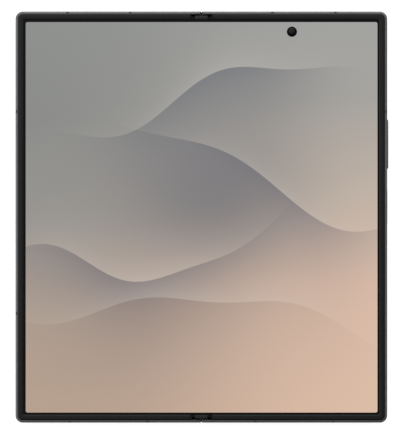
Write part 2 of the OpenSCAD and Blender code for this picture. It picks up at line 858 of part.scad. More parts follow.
module bracket_screws() {
    color("silver") lifted() bracket_screw_places() {
        translate([0, 0, spine_floor_z - screw_bite])
            cylinder(r = bracket_screw_r, h = flange_t + screw_bite);
        translate([0, 0, spine_floor_z + flange_t]) cylinder(r = 2 * bracket_screw_r, h = 0.35);
    }
}

// Outline of the two rounds about the fold axes and what lies between them
module fold_rounds(r) {
    for (s = [-1, 1]) translate([s * axis_x, axis_z]) circle(r);
    translate([-axis_x, axis_z - r]) square([2 * axis_x, 2 * r]);
}

// Caps that close the ends of the fold between the two bezels.
// A rib on each cap stands in the notch between the round noses of the end walls.
cap_drop = 0.05;
rib_gap = 0.03;
rib_l = 0.95;
rib_drop = 0.45;
rib_foot = 0.3;
module hinge_end_caps() {
    rib_x = fold_gap / 2 - rib_gap;
    color("black") lifted() both_ends() {
        along_y(cap_y, spine_l / 2 - cap_y) intersection() {
            fold_rounds(spine_r);
            square_between(-2 * spine_r, 2 * spine_r, spine_rim_z, bezel_top - cap_drop);
        }
        along_y(spine_l / 2 - cut, cut + rib_l) difference() {
            square_between(-rib_x, rib_x, axis_z + rib_foot, half_t - rib_drop);
            for (s = [-1, 1]) translate([s * axis_x, axis_z]) circle(nose_r + rib_gap);
        }
    }
}

// --- Hinge: rotators on arc rails ---
rail_steps = 4;
module rotator(station) {
    link_x = axis_x + (rail_r - rail_t / 2) * cos(rail_end);
    sector = [for (i = [0 : rail_steps]) let (a = rail_start + i * (rail_end - rail_start) / rail_steps)
        2 * spine_r * [cos(a), sin(a)]];
    in_unit(station + run_gap, rail_w) translate([axis_x, axis_z]) intersection() {
        difference() {
            circle(rail_r + rail_t / 2);
            circle(rail_r - rail_t / 2);
        }
        polygon(concat([[0, 0]], sector));
    }
    in_unit(station + rail_bay / 2 - link_w / 2, link_w)
        square_between(link_x, pad_x + cut, link_z, link_z + link_t);
    difference() {
        in_unit(station + run_gap, rail_w) square_between(pad_x, pad_x + pad_l, link_z - seat_gap, pad_top);
        both_ends() translate([pad_x + pad_l / 2, unit_y - station - rail_bay / 2, 0]) {
            cylinder(r = pad_screw_r + seat_gap, h = 2 * half_t);
            translate([0, 0, pad_top - screw_head_t]) cylinder(r = screw_head_r + seat_gap, h = half_t);
        }
    }
}

module rotator_screws(station) {
    both_ends() translate([pad_x + pad_l / 2, unit_y - station - rail_bay / 2, 0]) {
        translate([0, 0, guide_z]) cylinder(r = pad_screw_r, h = pad_top - screw_head_t - guide_z);
        translate([0, 0, pad_top - screw_head_t]) cylinder(r = screw_head_r, h = screw_head_t);
    }
}

module rotators_right() { color("slategray") lifted() rotator(right_rail_s); }

module rotators_left() { color("slategray") lifted() left_half() rotator(left_rail_s); }

module rotator_screws_right() { color("silver") lifted() rotator_screws(right_rail_s); }

module rotator_screws_left() { color("silver") lifted() left_half() rotator_screws(left_rail_s); }

// --- Hinge: synchronising arms ---
plate_reach = 0.75;

// An arm is one piece: gear, shaft and a paddle with a cross pin
module sync_arm(side) {
    middle = gear_s + gear_bay / 2;
    pin_z = gear_z - paddle_drop;
    in_unit(gear_s + run_gap, gear_w)
        translate([arm_x, gear_z]) rotate(side ? 180 : 0) polygon(tooth_points(side));
    in_unit(gear_s - unit_wall / 2 + run_gap, unit_l - gear_s - 2 * run_gap) translate([arm_x, gear_z])
        circle(arm_shaft_r);
    in_unit(middle - paddle_w / 2, paddle_w)
        square_between(arm_x, arm_x + arm_pin_x, pin_z - paddle_t / 2, pin_z + paddle_t / 2);
    in_unit(middle - arm_pin_l / 2, arm_pin_l) translate([arm_x + arm_pin_x, pin_z]) circle(arm_pin_r);
}

module sync_arms_right() { color("silver") lifted() sync_arm(1); }

module sync_arms_left() { color("silver") lifted() left_half() sync_arm(0); }

module idler(x, side) {
    in_unit(gear_s + run_gap, gear_w) translate([x, gear_z]) difference() {
        polygon(tooth_points(side));
        circle(idler_pin_r + run_gap / 2);
    }
}

module idler_gears_right() { color("gold") lifted() idler(idler_x, 0); }

module idler_gears_left() { color("gold") lifted() idler(-idler_x, 1); }

module idler_pins() {
    color("silver") lifted() for (s = [-1, 1]) in_unit(gear_s - unit_wall / 2, gear_bay + unit_wall)
        translate([s * idler_x, gear_z]) circle(idler_pin_r);
}

// Friction plates bridge both arm shafts, with disc springs between them
plate_pitch = 1.1;
friction_t = 0.4;
spring_gap = 0.02;
module friction_plate() {
    difference() {
        union() {
            square_between(-arm_x, arm_x, gear_z - arm_shaft_r, gear_z + arm_shaft_r);
            for (s = [-1, 1]) translate([s * arm_x, gear_z]) circle(plate_reach - seat_gap);
        }
        for (s = [-1, 1]) translate([s * arm_x, gear_z]) circle(arm_shaft_r + run_gap / 2);
    }
}

module friction_plates() {
    color("lightgray") lifted() for (i = [0 : 3])
        in_unit(stack_s + end_gap + i * plate_pitch, friction_t) friction_plate();
}

module square_between(x0, x1, z0, z1) { translate([x0, z0]) square([x1 - x0, z1 - z0]); }

module disc_springs() {
    first_s = stack_s + end_gap + friction_t + spring_gap;
    color("gray") lifted() for (i = [0 : 2], s = [-1, 1])
        in_unit(first_s + i * plate_pitch, plate_pitch - friction_t - 2 * spring_gap)
            translate([s * arm_x, gear_z]) difference() {
                circle(plate_reach - 2 * seat_gap);
                circle(arm_shaft_r + run_gap);
            }
}

// Guide blocks on the halves: a slot for the paddle and an arc slot for its cross pin
module arm_guide() {
    middle = gear_s + gear_bay / 2;
    centre = [axis_x + arm_pin_x, axis_z - paddle_drop];
    difference() {
        in_unit(middle - guide_w / 2, guide_w)
            square_between(guide_x0, guide_x1, guide_z, plate_z - guide_roof_gap);
        in_unit(middle - paddle_w / 2 - run_gap, paddle_w + 2 * run_gap)
            square_between(guide_x0 - cut, guide_x1 - guide_wall, guide_z + guide_floor - 0.02, half_t);
        in_unit(middle - arm_pin_l / 2 - run_gap, arm_pin_l + 2 * run_gap) {
            difference() {
                translate(centre) circle(arm_turn_r + guide_slot_w / 2);
                translate(centre) circle(arm_turn_r - guide_slot_w / 2);
                translate(centre - [2 * spine_r, 0]) square(4 * spine_r);
            }
        }
    }
}

module arm_guides_right() { color("slategray") lifted() arm_guide(); }

module arm_guides_left() { color("slategray") lifted() left_half() arm_guide(); }

// --- Hinge: wing plates under the fold of the display ---
wing_open_l = 2 * (half_l - bezel_w);
wing_strip_w = 0.9;
trunnion_end = inner_l + wing_trunnion_l;
module wing_plate() {
    difference() {
        along_y(-wing_open_l / 2, wing_open_l)
            square_between(wing_tip_x, wing_pivot_x, screen_z - wing_t, screen_z);
        // room for the hinge units
        both_ends() box(-cut, wing_pivot_x - wing_strip_w, unit_y - unit_l - flange_l - 0.3,
            unit_y + flange_l + 0.3, 0, half_t);
    }
    rod(wing_pivot_x, wing_pivot_z, wing_edge_r, seat_gap - inner_l, 2 * (inner_l - seat_gap));
    rod(wing_pivot_x, wing_pivot_z, wing_trunnion_r, -trunnion_end, 2 * trunnion_end);
}

module wing_plate_right() { color("silver") lifted() wing_plate(); }

module wing_plate_left() { color("silver") lifted() left_half() wing_plate(); }

// --- Flex cables across the fold ---
flex_y = 22;
flex_w = 12;
flex_t = 0.12;
cable_play = 0.5;
cable_gap = 0.1;
flex_clear = 0.08;
flex_z = block_top + flex_clear;
flex_climb_x = spine_r + axis_x + 0.2;
flex_rim_z = spine_rim_z + flex_clear;
module flex_cables() {
    dip_z = spine_floor_z + 0.05;
    rim_x = axis_x + spine_r - 0.6;
    rise = [[axis_x, dip_z], [rim_x, flex_rim_z], [flex_climb_x - 0.25, flex_rim_z], [flex_climb_x, flex_z],
        [inside_x, flex_z]];
    last = len(rise) - 1;
    path = concat([for (i = [last : -1 : 0]) [-rise[i][0], rise[i][1]]], rise);
    back = [for (i = [len(path) - 1 : -1 : 0]) path[i] + [0, flex_t]];
    color("orange") lifted() both_ends()
        along_y(flex_y - flex_w / 2, flex_w) polygon(concat(path, back));
}

// --- Cover half ---
cover_punch_x = half_w / 2;
cover_lens_r = 1.6;
cover_camera_w = 6.4;
cover_part_z = cover_block_z + ledge_t;

module cover_glass() {
    color("black") lifted() left_half() half_slab(glass_inset + seat_gap, glass_x, 0, back_glass_t);
}

module cover_display() {
    color("darkslateblue") lifted() left_half() difference() {
        half_slab(2, glass_x + 0.4, back_glass_t, back_glass_t + cover_panel_t);
        translate([cover_punch_x, half_l - punch_from_top, 0]) cylinder(r = cover_lens_r + 0.1, h = half_t);
    }
}

module cover_camera() {
    half = cover_camera_w / 2;
    color("black") lifted() left_half() translate([cover_punch_x, half_l - punch_from_top, 0]) {
        translate([0, 0, back_glass_t]) cylinder(r = cover_lens_r, h = 1);
        soft_box(-half, half, -half, half, cover_block_z, plate_z - seat_gap, module_r);
    }
}

cover_cell_end = 33.2;
cover_cell_x = inside_x + 1;
cover_cell_w = half_w - cover_cell_edge - cover_cell_x;
cover_cell_y0 = cover_cell_end - half_l;
cover_cell_y1 = cover_cell_y0 + cover_cell_l;
module cover_battery() {
    color("dimgray") lifted() left_half() soft_box(cover_cell_x, cover_cell_x + cover_cell_w, cover_cell_y0,
        cover_cell_y1, cover_block_z + seat_gap, plate_z - seat_gap, cell_r);
}

module sub_board() {
    z0 = cover_block_z + 0.2;
    top = half_l - punch_from_top - cover_camera_w / 2 - 0.8;
    color("darkgreen") lifted() left_half()
        box(inside_x, half_w - cover_cell_edge, cover_cell_y1 + bay_margin, top, z0, z0 + board_t);
}

module cover_speaker() {
    color("black") lifted() left_half() loudspeaker(inner_l - end_gap - speaker_l, cover_part_z + seat_gap);
}

// Card reader and tray
card_w = 12.4;
card_l = 8.9;
card_gap = 1.8;
card_floor = 0.4;
reader_wall = 0.2;
module card_reader() {
    x0 = tray_x - tray_w / 2;
    x1 = tray_x + tray_w / 2;
    y1 = tray_l - inner_l + 0.6;
    z0 = tray_z - tray_t / 2;
    z1 = tray_z + tray_t / 2;
    color("silver") lifted() left_half() difference() {
        box(x0 - 1, x1 + 1, 1 - inner_l, y1 + 0.6, z0 - reader_wall, z1 + reader_wall);
        box(x0 - run_gap, x1 + run_gap, -inner_l, y1, z0 - run_gap, z1 + run_gap);
    }
}

// The tray's face has a hole for the pin that ejects it
eject_r = 0.4;
module card_tray() {
    face_y = seat_gap - half_l;
    tray_z0 = tray_z - tray_t / 2;
    color("gray") lifted() left_half() translate([tray_x, 0, 0]) {
        difference() {
            translate([0, 0, tray_z]) along_y(face_y, wall_t - seat_gap) stadium(tray_face_w, tray_face_h);
            rod(tray_w / 2 - 1, tray_z, eject_r, face_y - cut, cut + wall_t - 3 * seat_gap);
        }
        difference() {
            box(-tray_w / 2, tray_w / 2, -inner_l - 0.1, tray_l - inner_l, tray_z0, tray_z0 + tray_t);
            // seats of two cards
            for (i = [0, 1])
                translate([-card_w / 2, card_gap - inner_l + i * (card_l + card_gap), tray_z0 + card_floor])
                    cube([card_w, card_l, tray_t]);
        }
    }
}

main_frame();
rear_glass();
camera_island();
camera_rings();
camera_lenses();
camera_modules();
flash_lens();
main_bezel();
display_right();
front_camera();
front_camera_lens();
port_shell();
port_tongue();
main_speaker();
main_board();
shield_cans();
main_battery();
charging_coil();
vibration_motor();
main_antenna_breaks();
main_magnets();
key_switches();
rotators_right();
arm_guides_right();
rotator_screws_right();
volume_key();
side_key();
wing_plate_right();
hinge_spine();
hinge_brackets();
bracket_screws();
hinge_end_caps();
idler_pins();
friction_plates();
disc_springs();
sync_arms_right();
sync_arms_left();
idler_gears_right();
idler_gears_left();
display_fold();
flex_cables();
cover_frame();
cover_glass();
cover_display();
cover_bezel();
display_left();
cover_camera();
cover_battery();
sub_board();
cover_speaker();
cover_antenna_breaks();
cover_magnets();
rotators_left();
arm_guides_left();
rotator_screws_left();
wing_plate_left();
card_reader();
card_tray();
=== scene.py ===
"""Foldable smartphone opened flat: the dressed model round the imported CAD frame.

Shapes are written in millimetres, with z counted from the back face of the phone, as in the
part's source. mm() turns them into the frame's metres, with the phone standing on its camera rings.
"""
import json
import math
from collections import namedtuple

import bmesh
import bpy
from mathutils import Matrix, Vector
from mathutils.geometry import delaunay_2d_cdt

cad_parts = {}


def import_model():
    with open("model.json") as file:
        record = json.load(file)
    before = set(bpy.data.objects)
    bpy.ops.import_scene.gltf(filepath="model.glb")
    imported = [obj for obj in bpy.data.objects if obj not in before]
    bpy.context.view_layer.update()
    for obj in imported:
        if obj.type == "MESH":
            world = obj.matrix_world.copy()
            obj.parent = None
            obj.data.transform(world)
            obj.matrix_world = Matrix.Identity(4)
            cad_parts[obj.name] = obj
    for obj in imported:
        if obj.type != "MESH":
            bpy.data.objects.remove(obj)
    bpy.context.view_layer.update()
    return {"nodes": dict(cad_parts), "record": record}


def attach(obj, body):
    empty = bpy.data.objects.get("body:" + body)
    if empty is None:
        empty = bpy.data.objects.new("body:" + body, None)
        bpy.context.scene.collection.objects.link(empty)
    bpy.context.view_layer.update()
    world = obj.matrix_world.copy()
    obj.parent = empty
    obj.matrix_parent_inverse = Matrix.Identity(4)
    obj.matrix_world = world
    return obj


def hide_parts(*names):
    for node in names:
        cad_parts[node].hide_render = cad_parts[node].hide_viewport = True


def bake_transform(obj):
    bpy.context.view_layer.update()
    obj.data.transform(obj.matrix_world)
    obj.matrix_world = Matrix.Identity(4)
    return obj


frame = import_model()
NODES = frame["nodes"]

# --- Sizes in millimetres, as in the part's source ---
MM = 0.001
LIFT = 2.3  # the back face above the plane that the camera rings stand on
HALF_W, HALF_L, HALF_T = 71.6, 79.2, 4.2
CORNER_R, LEAST_CORNER_R = 2.8, 0.7
WALL_T, RIM_W, RIM_GAP, SEAT_GAP = 1.3, 0.9, 0.03, 0.05
SCREEN_Z, SCREEN_TOP, SCREEN_INSET = 3.4, 3.95, 2.5
BEZEL_TOP, BEZEL_INSET = 4.1, 3.1
AXIS_X, AXIS_Z = 1.4, 3.05
SPINE_R, SPINE_RIM_Z, SPINE_L = 2.6, 2.29, 155.6
PUNCH = (34.9, HALF_L - 7.6)
PUNCH_R = 1.78
CAMERA_X, LENS_YS, LENS_R, RING_R = 58.5, (28.2, 46.2, 64.2), 5.6, 7.0
OUTER_CAMERA = (HALF_W / 2, HALF_L - 7.6)
KEY_Z, KEY_H, KEY_PLAY, KEY_FLANGE_T = 2.1, 1.8, 0.22, 0.4
PORT_X, PORT_Z = 35.8, 1.9
FLEX_YS, FLEX_R, FLEX_T = ((16.0, 28.0), (-28.0, -16.0)), 2.27, 0.12


def mm(x, y, z):
    """A point given in millimetres from the back face, in the frame's metres."""
    return (x * MM, y * MM, (z + LIFT) * MM)


def linear(r, g, b):
    """Opaque colour given by its linear amounts."""
    return (r, g, b, 1.0)


def srgb(r, g, b):
    """Linear colour of an 8-bit screen colour."""
    def decoded(c):
        c /= 255
        return c / 12.92 if c <= 0.04045 else ((c + 0.055) / 1.055) ** 2.4
    return linear(decoded(r), decoded(g), decoded(b))


def shade(colour, factor):
    """The same colour, darker or lighter."""
    return linear(*(c * factor for c in colour[:3]))


BLACK, WHITE = linear(0, 0, 0), linear(1, 1, 1)


# --- Node graphs ---
class Graph:
    """One material or world and short calls for its nodes."""

    def __init__(self, block):
        block.use_nodes = True
        self.block = block
        self.tree = block.node_tree
        self.tree.nodes.clear()

    def put(self, socket, value):
        """Links a socket to another one, or sets its value."""
        if hasattr(value, "links"):
            self.tree.links.new(value, socket)
        elif value is not None:
            socket.default_value = value

    def node(self, kind, inputs=(), **settings):
        """A new node. Its inputs are given by place or name."""
        made = self.tree.nodes.new(kind)
        for key, value in settings.items():
            setattr(made, key, value)
        for key, value in dict(inputs).items():
            self.put(made.inputs[key], value)
        return made

    def math(self, operation, *values, clamp=False):
        made = self.node("ShaderNodeMath", enumerate(values), operation=operation, use_clamp=clamp)
        return made.outputs[0]

    def product(self, *values):
        """All the values multiplied, of which the first is a socket."""
        result = values[0]
        for value in values[1:]:
            result = self.math("MULTIPLY", result, value)
        return result

    def square(self, value, middle, size=1.0):
        """((value - middle) / size) squared."""
        offset = self.math("DIVIDE", self.math("SUBTRACT", value, middle), size)
        return self.math("MULTIPLY", offset, offset)

    def spread(self, value, low, high, start, end):
        """Even change from start to end as value goes from low to high."""
        made = self.node("ShaderNodeMapRange", {0: value, 1: low, 2: high, 3: start, 4: end})
        return made.outputs[0]

    def step(self, value, low, high, start=0.0, end=1.0):
        """Smooth change from start to end as value goes from low to high."""
        made = self.node("ShaderNodeMapRange", {0: value, 1: low, 2: high, 3: start, 4: end})
        made.interpolation_type = "SMOOTHSTEP"
        return made.outputs[0]

    def mix(self, factor, a, b):
        return self.node("ShaderNodeMix", {0: factor, 6: a, 7: b}, data_type="RGBA").outputs[2]

    def ramp(self, value, stops):
        made = self.node("ShaderNodeValToRGB", {0: value})
        elements = made.color_ramp.elements
        while len(elements) < len(stops):
            elements.new(0.5)
        for element, (place, colour) in zip(elements, stops):
            element.position, element.color = place, colour
        return made.outputs[0]

    def coords(self, scale=(1, 1, 1), middle=(0, 0)):
        """Object coordinates in millimetres, from a middle in plan, and then scaled."""
        source = self.node("ShaderNodeTexCoord").outputs["Object"]
        mapping = self.node("ShaderNodeMapping", {0: source, 3: [s / MM for s in scale]})
        mapping.inputs[1].default_value = [-m * k for m, k in zip((*middle, 0), scale)]
        return mapping.outputs[0]

    def axes(self, vector):
        """The three parts of a vector."""
        return self.node("ShaderNodeSeparateXYZ", {0: vector}).outputs

    def noise(self, vector, scale, detail=3.0, roughness=0.55):
        made = self.node("ShaderNodeTexNoise", {"Vector": vector, "Scale": scale, "Detail": detail})
        made.inputs["Roughness"].default_value = roughness
        return made.outputs[0]

    def bump(self, height, strength, distance_mm):
        made = self.node("ShaderNodeBump", {"Height": height, "Strength": strength})
        made.inputs["Distance"].default_value = distance_mm * MM
        return made.outputs[0]

    def surface(self, **inputs):
        """Principled shader: names with _ for spaces, values or sockets."""
        shader = self.node("ShaderNodeBsdfPrincipled")
        for key, value in inputs.items():
            self.put(shader.inputs[key.replace("_", " ")], value)
        self.node("ShaderNodeOutputMaterial", {0: shader.outputs[0]})
        return self.block


def graph(name):
    """The node graph of a new material."""
    return Graph(bpy.data.materials.new(name))


# --- Finishes ---
def varied(g, colour, spread, scale_per_mm):
    """Base colour that drifts a little over the surface."""
    drift = g.noise(g.coords(), scale_per_mm, 4.0)
    return g.mix(g.step(drift, 0.3, 0.7), shade(colour, 1 - spread), shade(colour, 1 + spread)), drift


def blasted_metal(name, colour, rough, grain=0.35):
    """Anodised or plated metal with a fine blasted grain."""
    g = graph(name)
    base, drift = varied(g, colour, 0.05, 0.05)
    fine = g.noise(g.coords(), 7.0, 2.0)
    spots = g.step(fine, 0.35, 0.65, rough - 0.05, rough + 0.06)
    roughness = g.math("ADD", spots, g.step(drift, 0.2, 0.8, -0.02, 0.02))
    return g.surface(Base_Color=base, Metallic=1.0, Roughness=roughness, Normal=g.bump(fine, grain, 0.01))


def brushed_metal(name, colour, rough, along=(1.0, 0.04, 1.0), scale=6.0):
    """Ground or stamped metal with lines along one axis."""
    g = graph(name)
    lines = g.noise(g.coords(scale=along), scale, 5.0, 0.7)
    base = g.mix(g.step(lines, 0.3, 0.7), shade(colour, 0.84), shade(colour, 1.1))
    roughness = g.step(lines, 0.2, 0.8, rough - 0.06, rough + 0.1)
    return g.surface(Base_Color=base, Metallic=1.0, Roughness=roughness, Normal=g.bump(lines, 0.3, 0.01))


def plastic(name, colour, rough, grain_scale=5.0, grain=0.25, spread=0.08, coat=0.0, shine=0.5):
    """Moulded plastic with a fine texture."""
    g = graph(name)
    base, drift = varied(g, colour, spread, 0.08)
    fine = g.noise(g.coords(), grain_scale, 3.0)
    spots = g.step(fine, 0.3, 0.7, rough - 0.04, rough + 0.05)
    roughness = g.math("ADD", spots, g.step(drift, 0.2, 0.8, -0.02, 0.03))
    return g.surface(Base_Color=base, Roughness=roughness, Specular_IOR_Level=shine, Coat_Weight=coat,
                     Normal=g.bump(fine, grain, 0.01))


def dark_glass(name, colour):
    """Polished glass over black, with the faint haze of an oil-repelling film."""
    g = graph(name)
    film = g.noise(g.coords(), 0.06, 5.0)
    base = g.mix(g.step(film, 0.3, 0.7), shade(colour, 0.8), shade(colour, 1.3))
    return g.surface(Base_Color=base, Roughness=g.step(film, 0.35, 0.75, 0.06, 0.09),
                     Specular_IOR_Level=0.5, Coat_Weight=0.3, Coat_Roughness=0.03)


def lens_glass(name, middle, tint, radius, pitch=100.0):
    """Coated lenses, one each pitch along Y: the tint in the middle, with dark rings, and black outwards."""
    g = graph(name)
    place = g.axes(g.coords(middle=middle))
    nearest = g.math("WRAP", place[1], pitch / 2, -pitch / 2)
    reach = g.math("SQRT", g.math("ADD", g.square(place[0], 0.0), g.square(nearest, 0.0)))
    rings = g.math("SINE", g.math("MULTIPLY", reach, 26 / radius))
    core = g.mix(g.step(reach, 0.25 * radius, 0.75 * radius, 1.0, 0.0), srgb(9, 9, 11), tint)
    base = g.mix(g.step(rings, 0.2, 1.0, 0.0, 0.5), core, srgb(4, 4, 6))
    roughness = g.step(rings, -1.0, 1.0, 0.12, 0.2)
    return g.surface(Base_Color=base, Roughness=roughness, Specular_IOR_Level=0.22)


def circuit(name, mask_colour):
    """Solder mask over fine copper tracks and rows of pads."""
    g = graph(name)
    at = g.coords()
    cells = g.node("ShaderNodeTexVoronoi", {"Vector": at, "Scale": 0.9}, distance="CHEBYCHEV")
    tracks = g.node("ShaderNodeTexBrick", {"Vector": at, "Scale": 0.7, "Mortar Size": 0.05}).outputs["Fac"]
    pads = g.step(cells.outputs["Distance"], 0.12, 0.16, 1.0, 0.0)
    base = g.mix(pads, g.mix(tracks, mask_colour, shade(mask_colour, 1.9)), srgb(176, 150, 96))
    return g.surface(Base_Color=base, Roughness=g.step(pads, 0.0, 1.0, 0.4, 0.25),
                     Metallic=g.math("MULTIPLY", pads, 0.9), Normal=g.bump(tracks, 0.4, 0.02))


def wound_copper(name, middle):
    """Enamelled wire wound in rings about one point."""
    g = graph(name)
    place = g.axes(g.coords(middle=middle))
    reach = g.math("SQRT", g.math("ADD", g.square(place[0], 0.0), g.square(place[1], 0.0)))
    turns = g.math("SINE", g.math("MULTIPLY", reach, 2 * math.pi / 0.5))
    base = g.mix(g.step(turns, -1.0, 1.0), srgb(92, 50, 28), srgb(214, 140, 92))
    return g.surface(Base_Color=base, Metallic=0.9, Roughness=0.32, Normal=g.bump(turns, 0.6, 0.1))


def cell_wrap(name):
    """Crinkled foil round a battery."""
    g = graph(name)
    wrinkle = g.noise(g.coords(scale=(1.0, 0.3, 1.0)), 0.7, 6.0, 0.6)
    base = g.mix(g.step(wrinkle, 0.3, 0.7), srgb(38, 39, 42), srgb(62, 63, 67))
    roughness = g.step(wrinkle, 0.2, 0.8, 0.3, 0.5)
    return g.surface(Base_Color=base, Roughness=roughness, Normal=g.bump(wrinkle, 0.5, 0.05))


def frosted(name):
    """Diffuser of the flash, with a fine honeycomb behind it."""
    g = graph(name)
    cells = g.node("ShaderNodeTexVoronoi", {"Vector": g.coords(), "Scale": 2.4}).outputs["Distance"]
    base = g.mix(g.step(cells, 0.1, 0.6), srgb(244, 236, 206), srgb(214, 200, 160))
    return g.surface(Base_Color=base, Roughness=0.28, Subsurface_Weight=0.2, Coat_Weight=0.6,
                     Normal=g.bump(cells, 0.5, 0.05))


def polyimide(name):
    """Amber flexible circuit with tracks across the fold."""
    g = graph(name)
    wave = g.node("ShaderNodeTexWave", {"Vector": g.coords(), "Scale": 0.55}, bands_direction="Y")
    stripes = wave.outputs["Fac"]
    base = g.mix(g.step(stripes, 0.4, 0.6), srgb(120, 66, 20), srgb(186, 118, 44))
    return g.surface(Base_Color=base, Roughness=0.35, Coat_Weight=0.4, Normal=g.bump(stripes, 0.3, 0.02))


# --- The picture on the display: drifting dunes under a grey sky that warms downwards ---
# A wave has an amplitude, a length and a phase. A span is where a dune starts, is strongest and ends.
Dune = namedtuple("Dune", "y slope wave ripple shade depth span tone")
DUNES = (
    Dune(46, 0.10, (11, 150, 0.4), (3, 60, 1.2), 0.52, 22, (-62, 10, 66), srgb(84, 88, 104)),
    Dune(20, -0.16, (13, 170, 2.5), (3.4, 74, 0.2), 0.55, 20, (-40, 26, 92), srgb(92, 94, 108)),
    Dune(-9, 0.21, (12, 128, 5.2), (2.2, 52, 2.2), 0.58, 24, (-96, -28, 44), srgb(88, 91, 106)),
    Dune(-38, -0.12, (9, 180, 1.0), (2.4, 66, 4.0), 0.24, 26, (-88, -10, 88), srgb(132, 116, 108)),
)
RIDGE_BLUR, GLOW_DEPTH, GLOW, GLOW_TONE = 0.35, 7.0, 0.22, srgb(214, 208, 200)
SKY_W, SKY_L = 68, 75.4
SKY_LEFT = ((0.0, srgb(186, 162, 143)), (0.25, srgb(178, 161, 147)), (0.5, srgb(152, 149, 145)),
            (0.75, srgb(140, 141, 139)), (1.0, srgb(142, 144, 142)))
SKY_RIGHT = ((0.0, srgb(222, 190, 168)), (0.33, srgb(220, 189, 169)), (0.55, srgb(195, 180, 167)),
             (0.8, srgb(167, 164, 159)), (1.0, srgb(163, 163, 161)))
HOLLOW, HOLLOW_SIZE, HOLLOW_DEPTH, HOLLOW_TONE = (4.0, 6.0), (34.0, 26.0), 0.62, srgb(104, 108, 115)
# The black border reaches in past the bezel's lip: it is partly the display's own border and partly painted
# shade beside the lip.
ACTIVE_X, ACTIVE_Y, ACTIVE_R = HALF_W - 3.87, HALF_L - 4.01, 0.7
ACTIVE_MIDDLE = (0.08, -0.09)
PUNCH_RING, PUNCH_RING_R = (PUNCH[0] - 0.03, PUNCH[1] - 0.22), 1.97
PRINT_BLUR = 0.03


def sky(g, u, v):
    """Grey above and warm below, lighter on the right, with a soft dark hollow near the middle."""
    up = g.math("DIVIDE", g.math("ADD", v, SKY_L), 2 * SKY_L, clamp=True)
    colour = g.mix(g.step(u, -SKY_W, SKY_W), g.ramp(up, SKY_LEFT), g.ramp(up, SKY_RIGHT))
    far = [g.square(*axis) for axis in zip((u, v), HOLLOW, HOLLOW_SIZE)]
    dip = g.math("EXPONENT", g.math("MULTIPLY", g.math("ADD", *far), -1.0))
    return g.mix(g.math("MULTIPLY", dip, HOLLOW_DEPTH), colour, HOLLOW_TONE)


def dune_ridge(g, u, dune):
    """Height of a dune's ridge at u."""
    height = g.math("ADD", dune.y, g.math("MULTIPLY", u, dune.slope))
    for size, length, phase in (dune.wave, dune.ripple):
        turn = g.math("ADD", g.math("MULTIPLY", u, 2 * math.pi / length), phase)
        height = g.math("ADD", height, g.math("MULTIPLY", g.math("SINE", turn), size))
    return height


def with_dune(g, colour, u, v, dune):
    """Adds a dune: a shade that fades away below its ridge, and a faint glow above the ridge."""
    below = g.math("SUBTRACT", dune_ridge(g, u, dune), v)
    edge = g.step(below, 0.0, RIDGE_BLUR)
    fade = g.math("EXPONENT", g.math("DIVIDE", g.math("MAXIMUM", below, 0.0), -dune.depth))
    low, middle, high = dune.span
    sides = g.product(g.step(u, low, middle), g.step(u, middle, high, 1.0, 0.0))
    colour = g.mix(g.product(edge, fade, sides, dune.shade), colour, dune.tone)
    glow = g.math("EXPONENT", g.math("DIVIDE", g.math("MINIMUM", below, 0.0), GLOW_DEPTH))
    return g.mix(g.product(glow, g.math("SUBTRACT", 1.0, edge), sides, GLOW), colour, GLOW_TONE)


def active_area_inside_lip_shade(g, u, v):
    """1 on the lit part of the display, 0 on its black border, which is partly the display's own border and
    partly painted shade beside the bezel's lip.
    """
    reach = []
    for value, middle, half in zip((u, v), ACTIVE_MIDDLE, (ACTIVE_X, ACTIVE_Y)):
        from_middle = g.math("ABSOLUTE", g.math("SUBTRACT", value, middle))
        past = g.math("MAXIMUM", g.math("SUBTRACT", from_middle, half - ACTIVE_R), 0.0)
        reach.append(g.square(past, 0.0))
    distance = g.math("SQRT", g.math("ADD", *reach))
    return g.step(distance, ACTIVE_R - PRINT_BLUR, ACTIVE_R + PRINT_BLUR, 1.0, 0.0)


def outside_ring(g, u, v):
    """0 on the black ring printed round the camera's hole, 1 elsewhere."""
    distance = g.math("SQRT", g.math("ADD", g.square(u, PUNCH_RING[0]), g.square(v, PUNCH_RING[1])))
    return g.step(distance, PUNCH_RING_R - PRINT_BLUR, PUNCH_RING_R + PRINT_BLUR)


def lit_screen(name):
    """Display that glows with the picture, under slightly hazy glass."""
    g = graph(name)
    u, v, _ = g.axes(g.node("ShaderNodeUVMap", uv_map="RestMM").outputs[0])
    colour = sky(g, u, v)
    for dune in DUNES:
        colour = with_dune(g, colour, u, v, dune)
    colour = g.mix(g.product(active_area_inside_lip_shade(g, u, v), outside_ring(g, u, v)), BLACK, colour)
    film = g.noise(g.coords(), 0.05, 4.0)
    return g.surface(Base_Color=srgb(2, 2, 2), Roughness=g.step(film, 0.3, 0.8, 0.1, 0.14),
                     Specular_IOR_Level=0.15, Emission_Color=colour, Emission_Strength=0.98)


# --- Mesh helpers ---
def piece(name, verts, faces, material, body=None, replaces=(), left=False, smooth=30, slot=None, uv=False):
    """Mesh object from points in millimetres. left mirrors it to the cover half."""
    if left:
        verts = [(-x, y, z) for x, y, z in verts]
        faces = [tuple(reversed(f)) for f in faces]
    mesh = bpy.data.meshes.new(name)
    mesh.from_pydata([mm(*v) for v in verts], [], faces)
    if uv:
        layer = mesh.uv_layers.new(name="RestMM")
        for loop in mesh.loops:
            layer.data[loop.index].uv = verts[loop.vertex_index][:2]
    obj = bpy.data.objects.new(name, mesh)
    bpy.context.scene.collection.objects.link(obj)
    return finish_piece(obj, material, body, replaces, smooth)


def sharpen(mesh, degrees):
    """Stops the shading at every edge that is open or bends by more than the angle."""
    sides = [[] for _ in mesh.edges]
    for face in mesh.polygons:
        normal = face.normal.copy()
        for i in face.loop_indices:
            sides[mesh.loops[i].edge_index].append(normal)
    for edge, normals in zip(mesh.edges, sides):
        edge.use_edge_sharp = len(normals) != 2 or normals[0].angle(normals[1], 0.0) > math.radians(degrees)


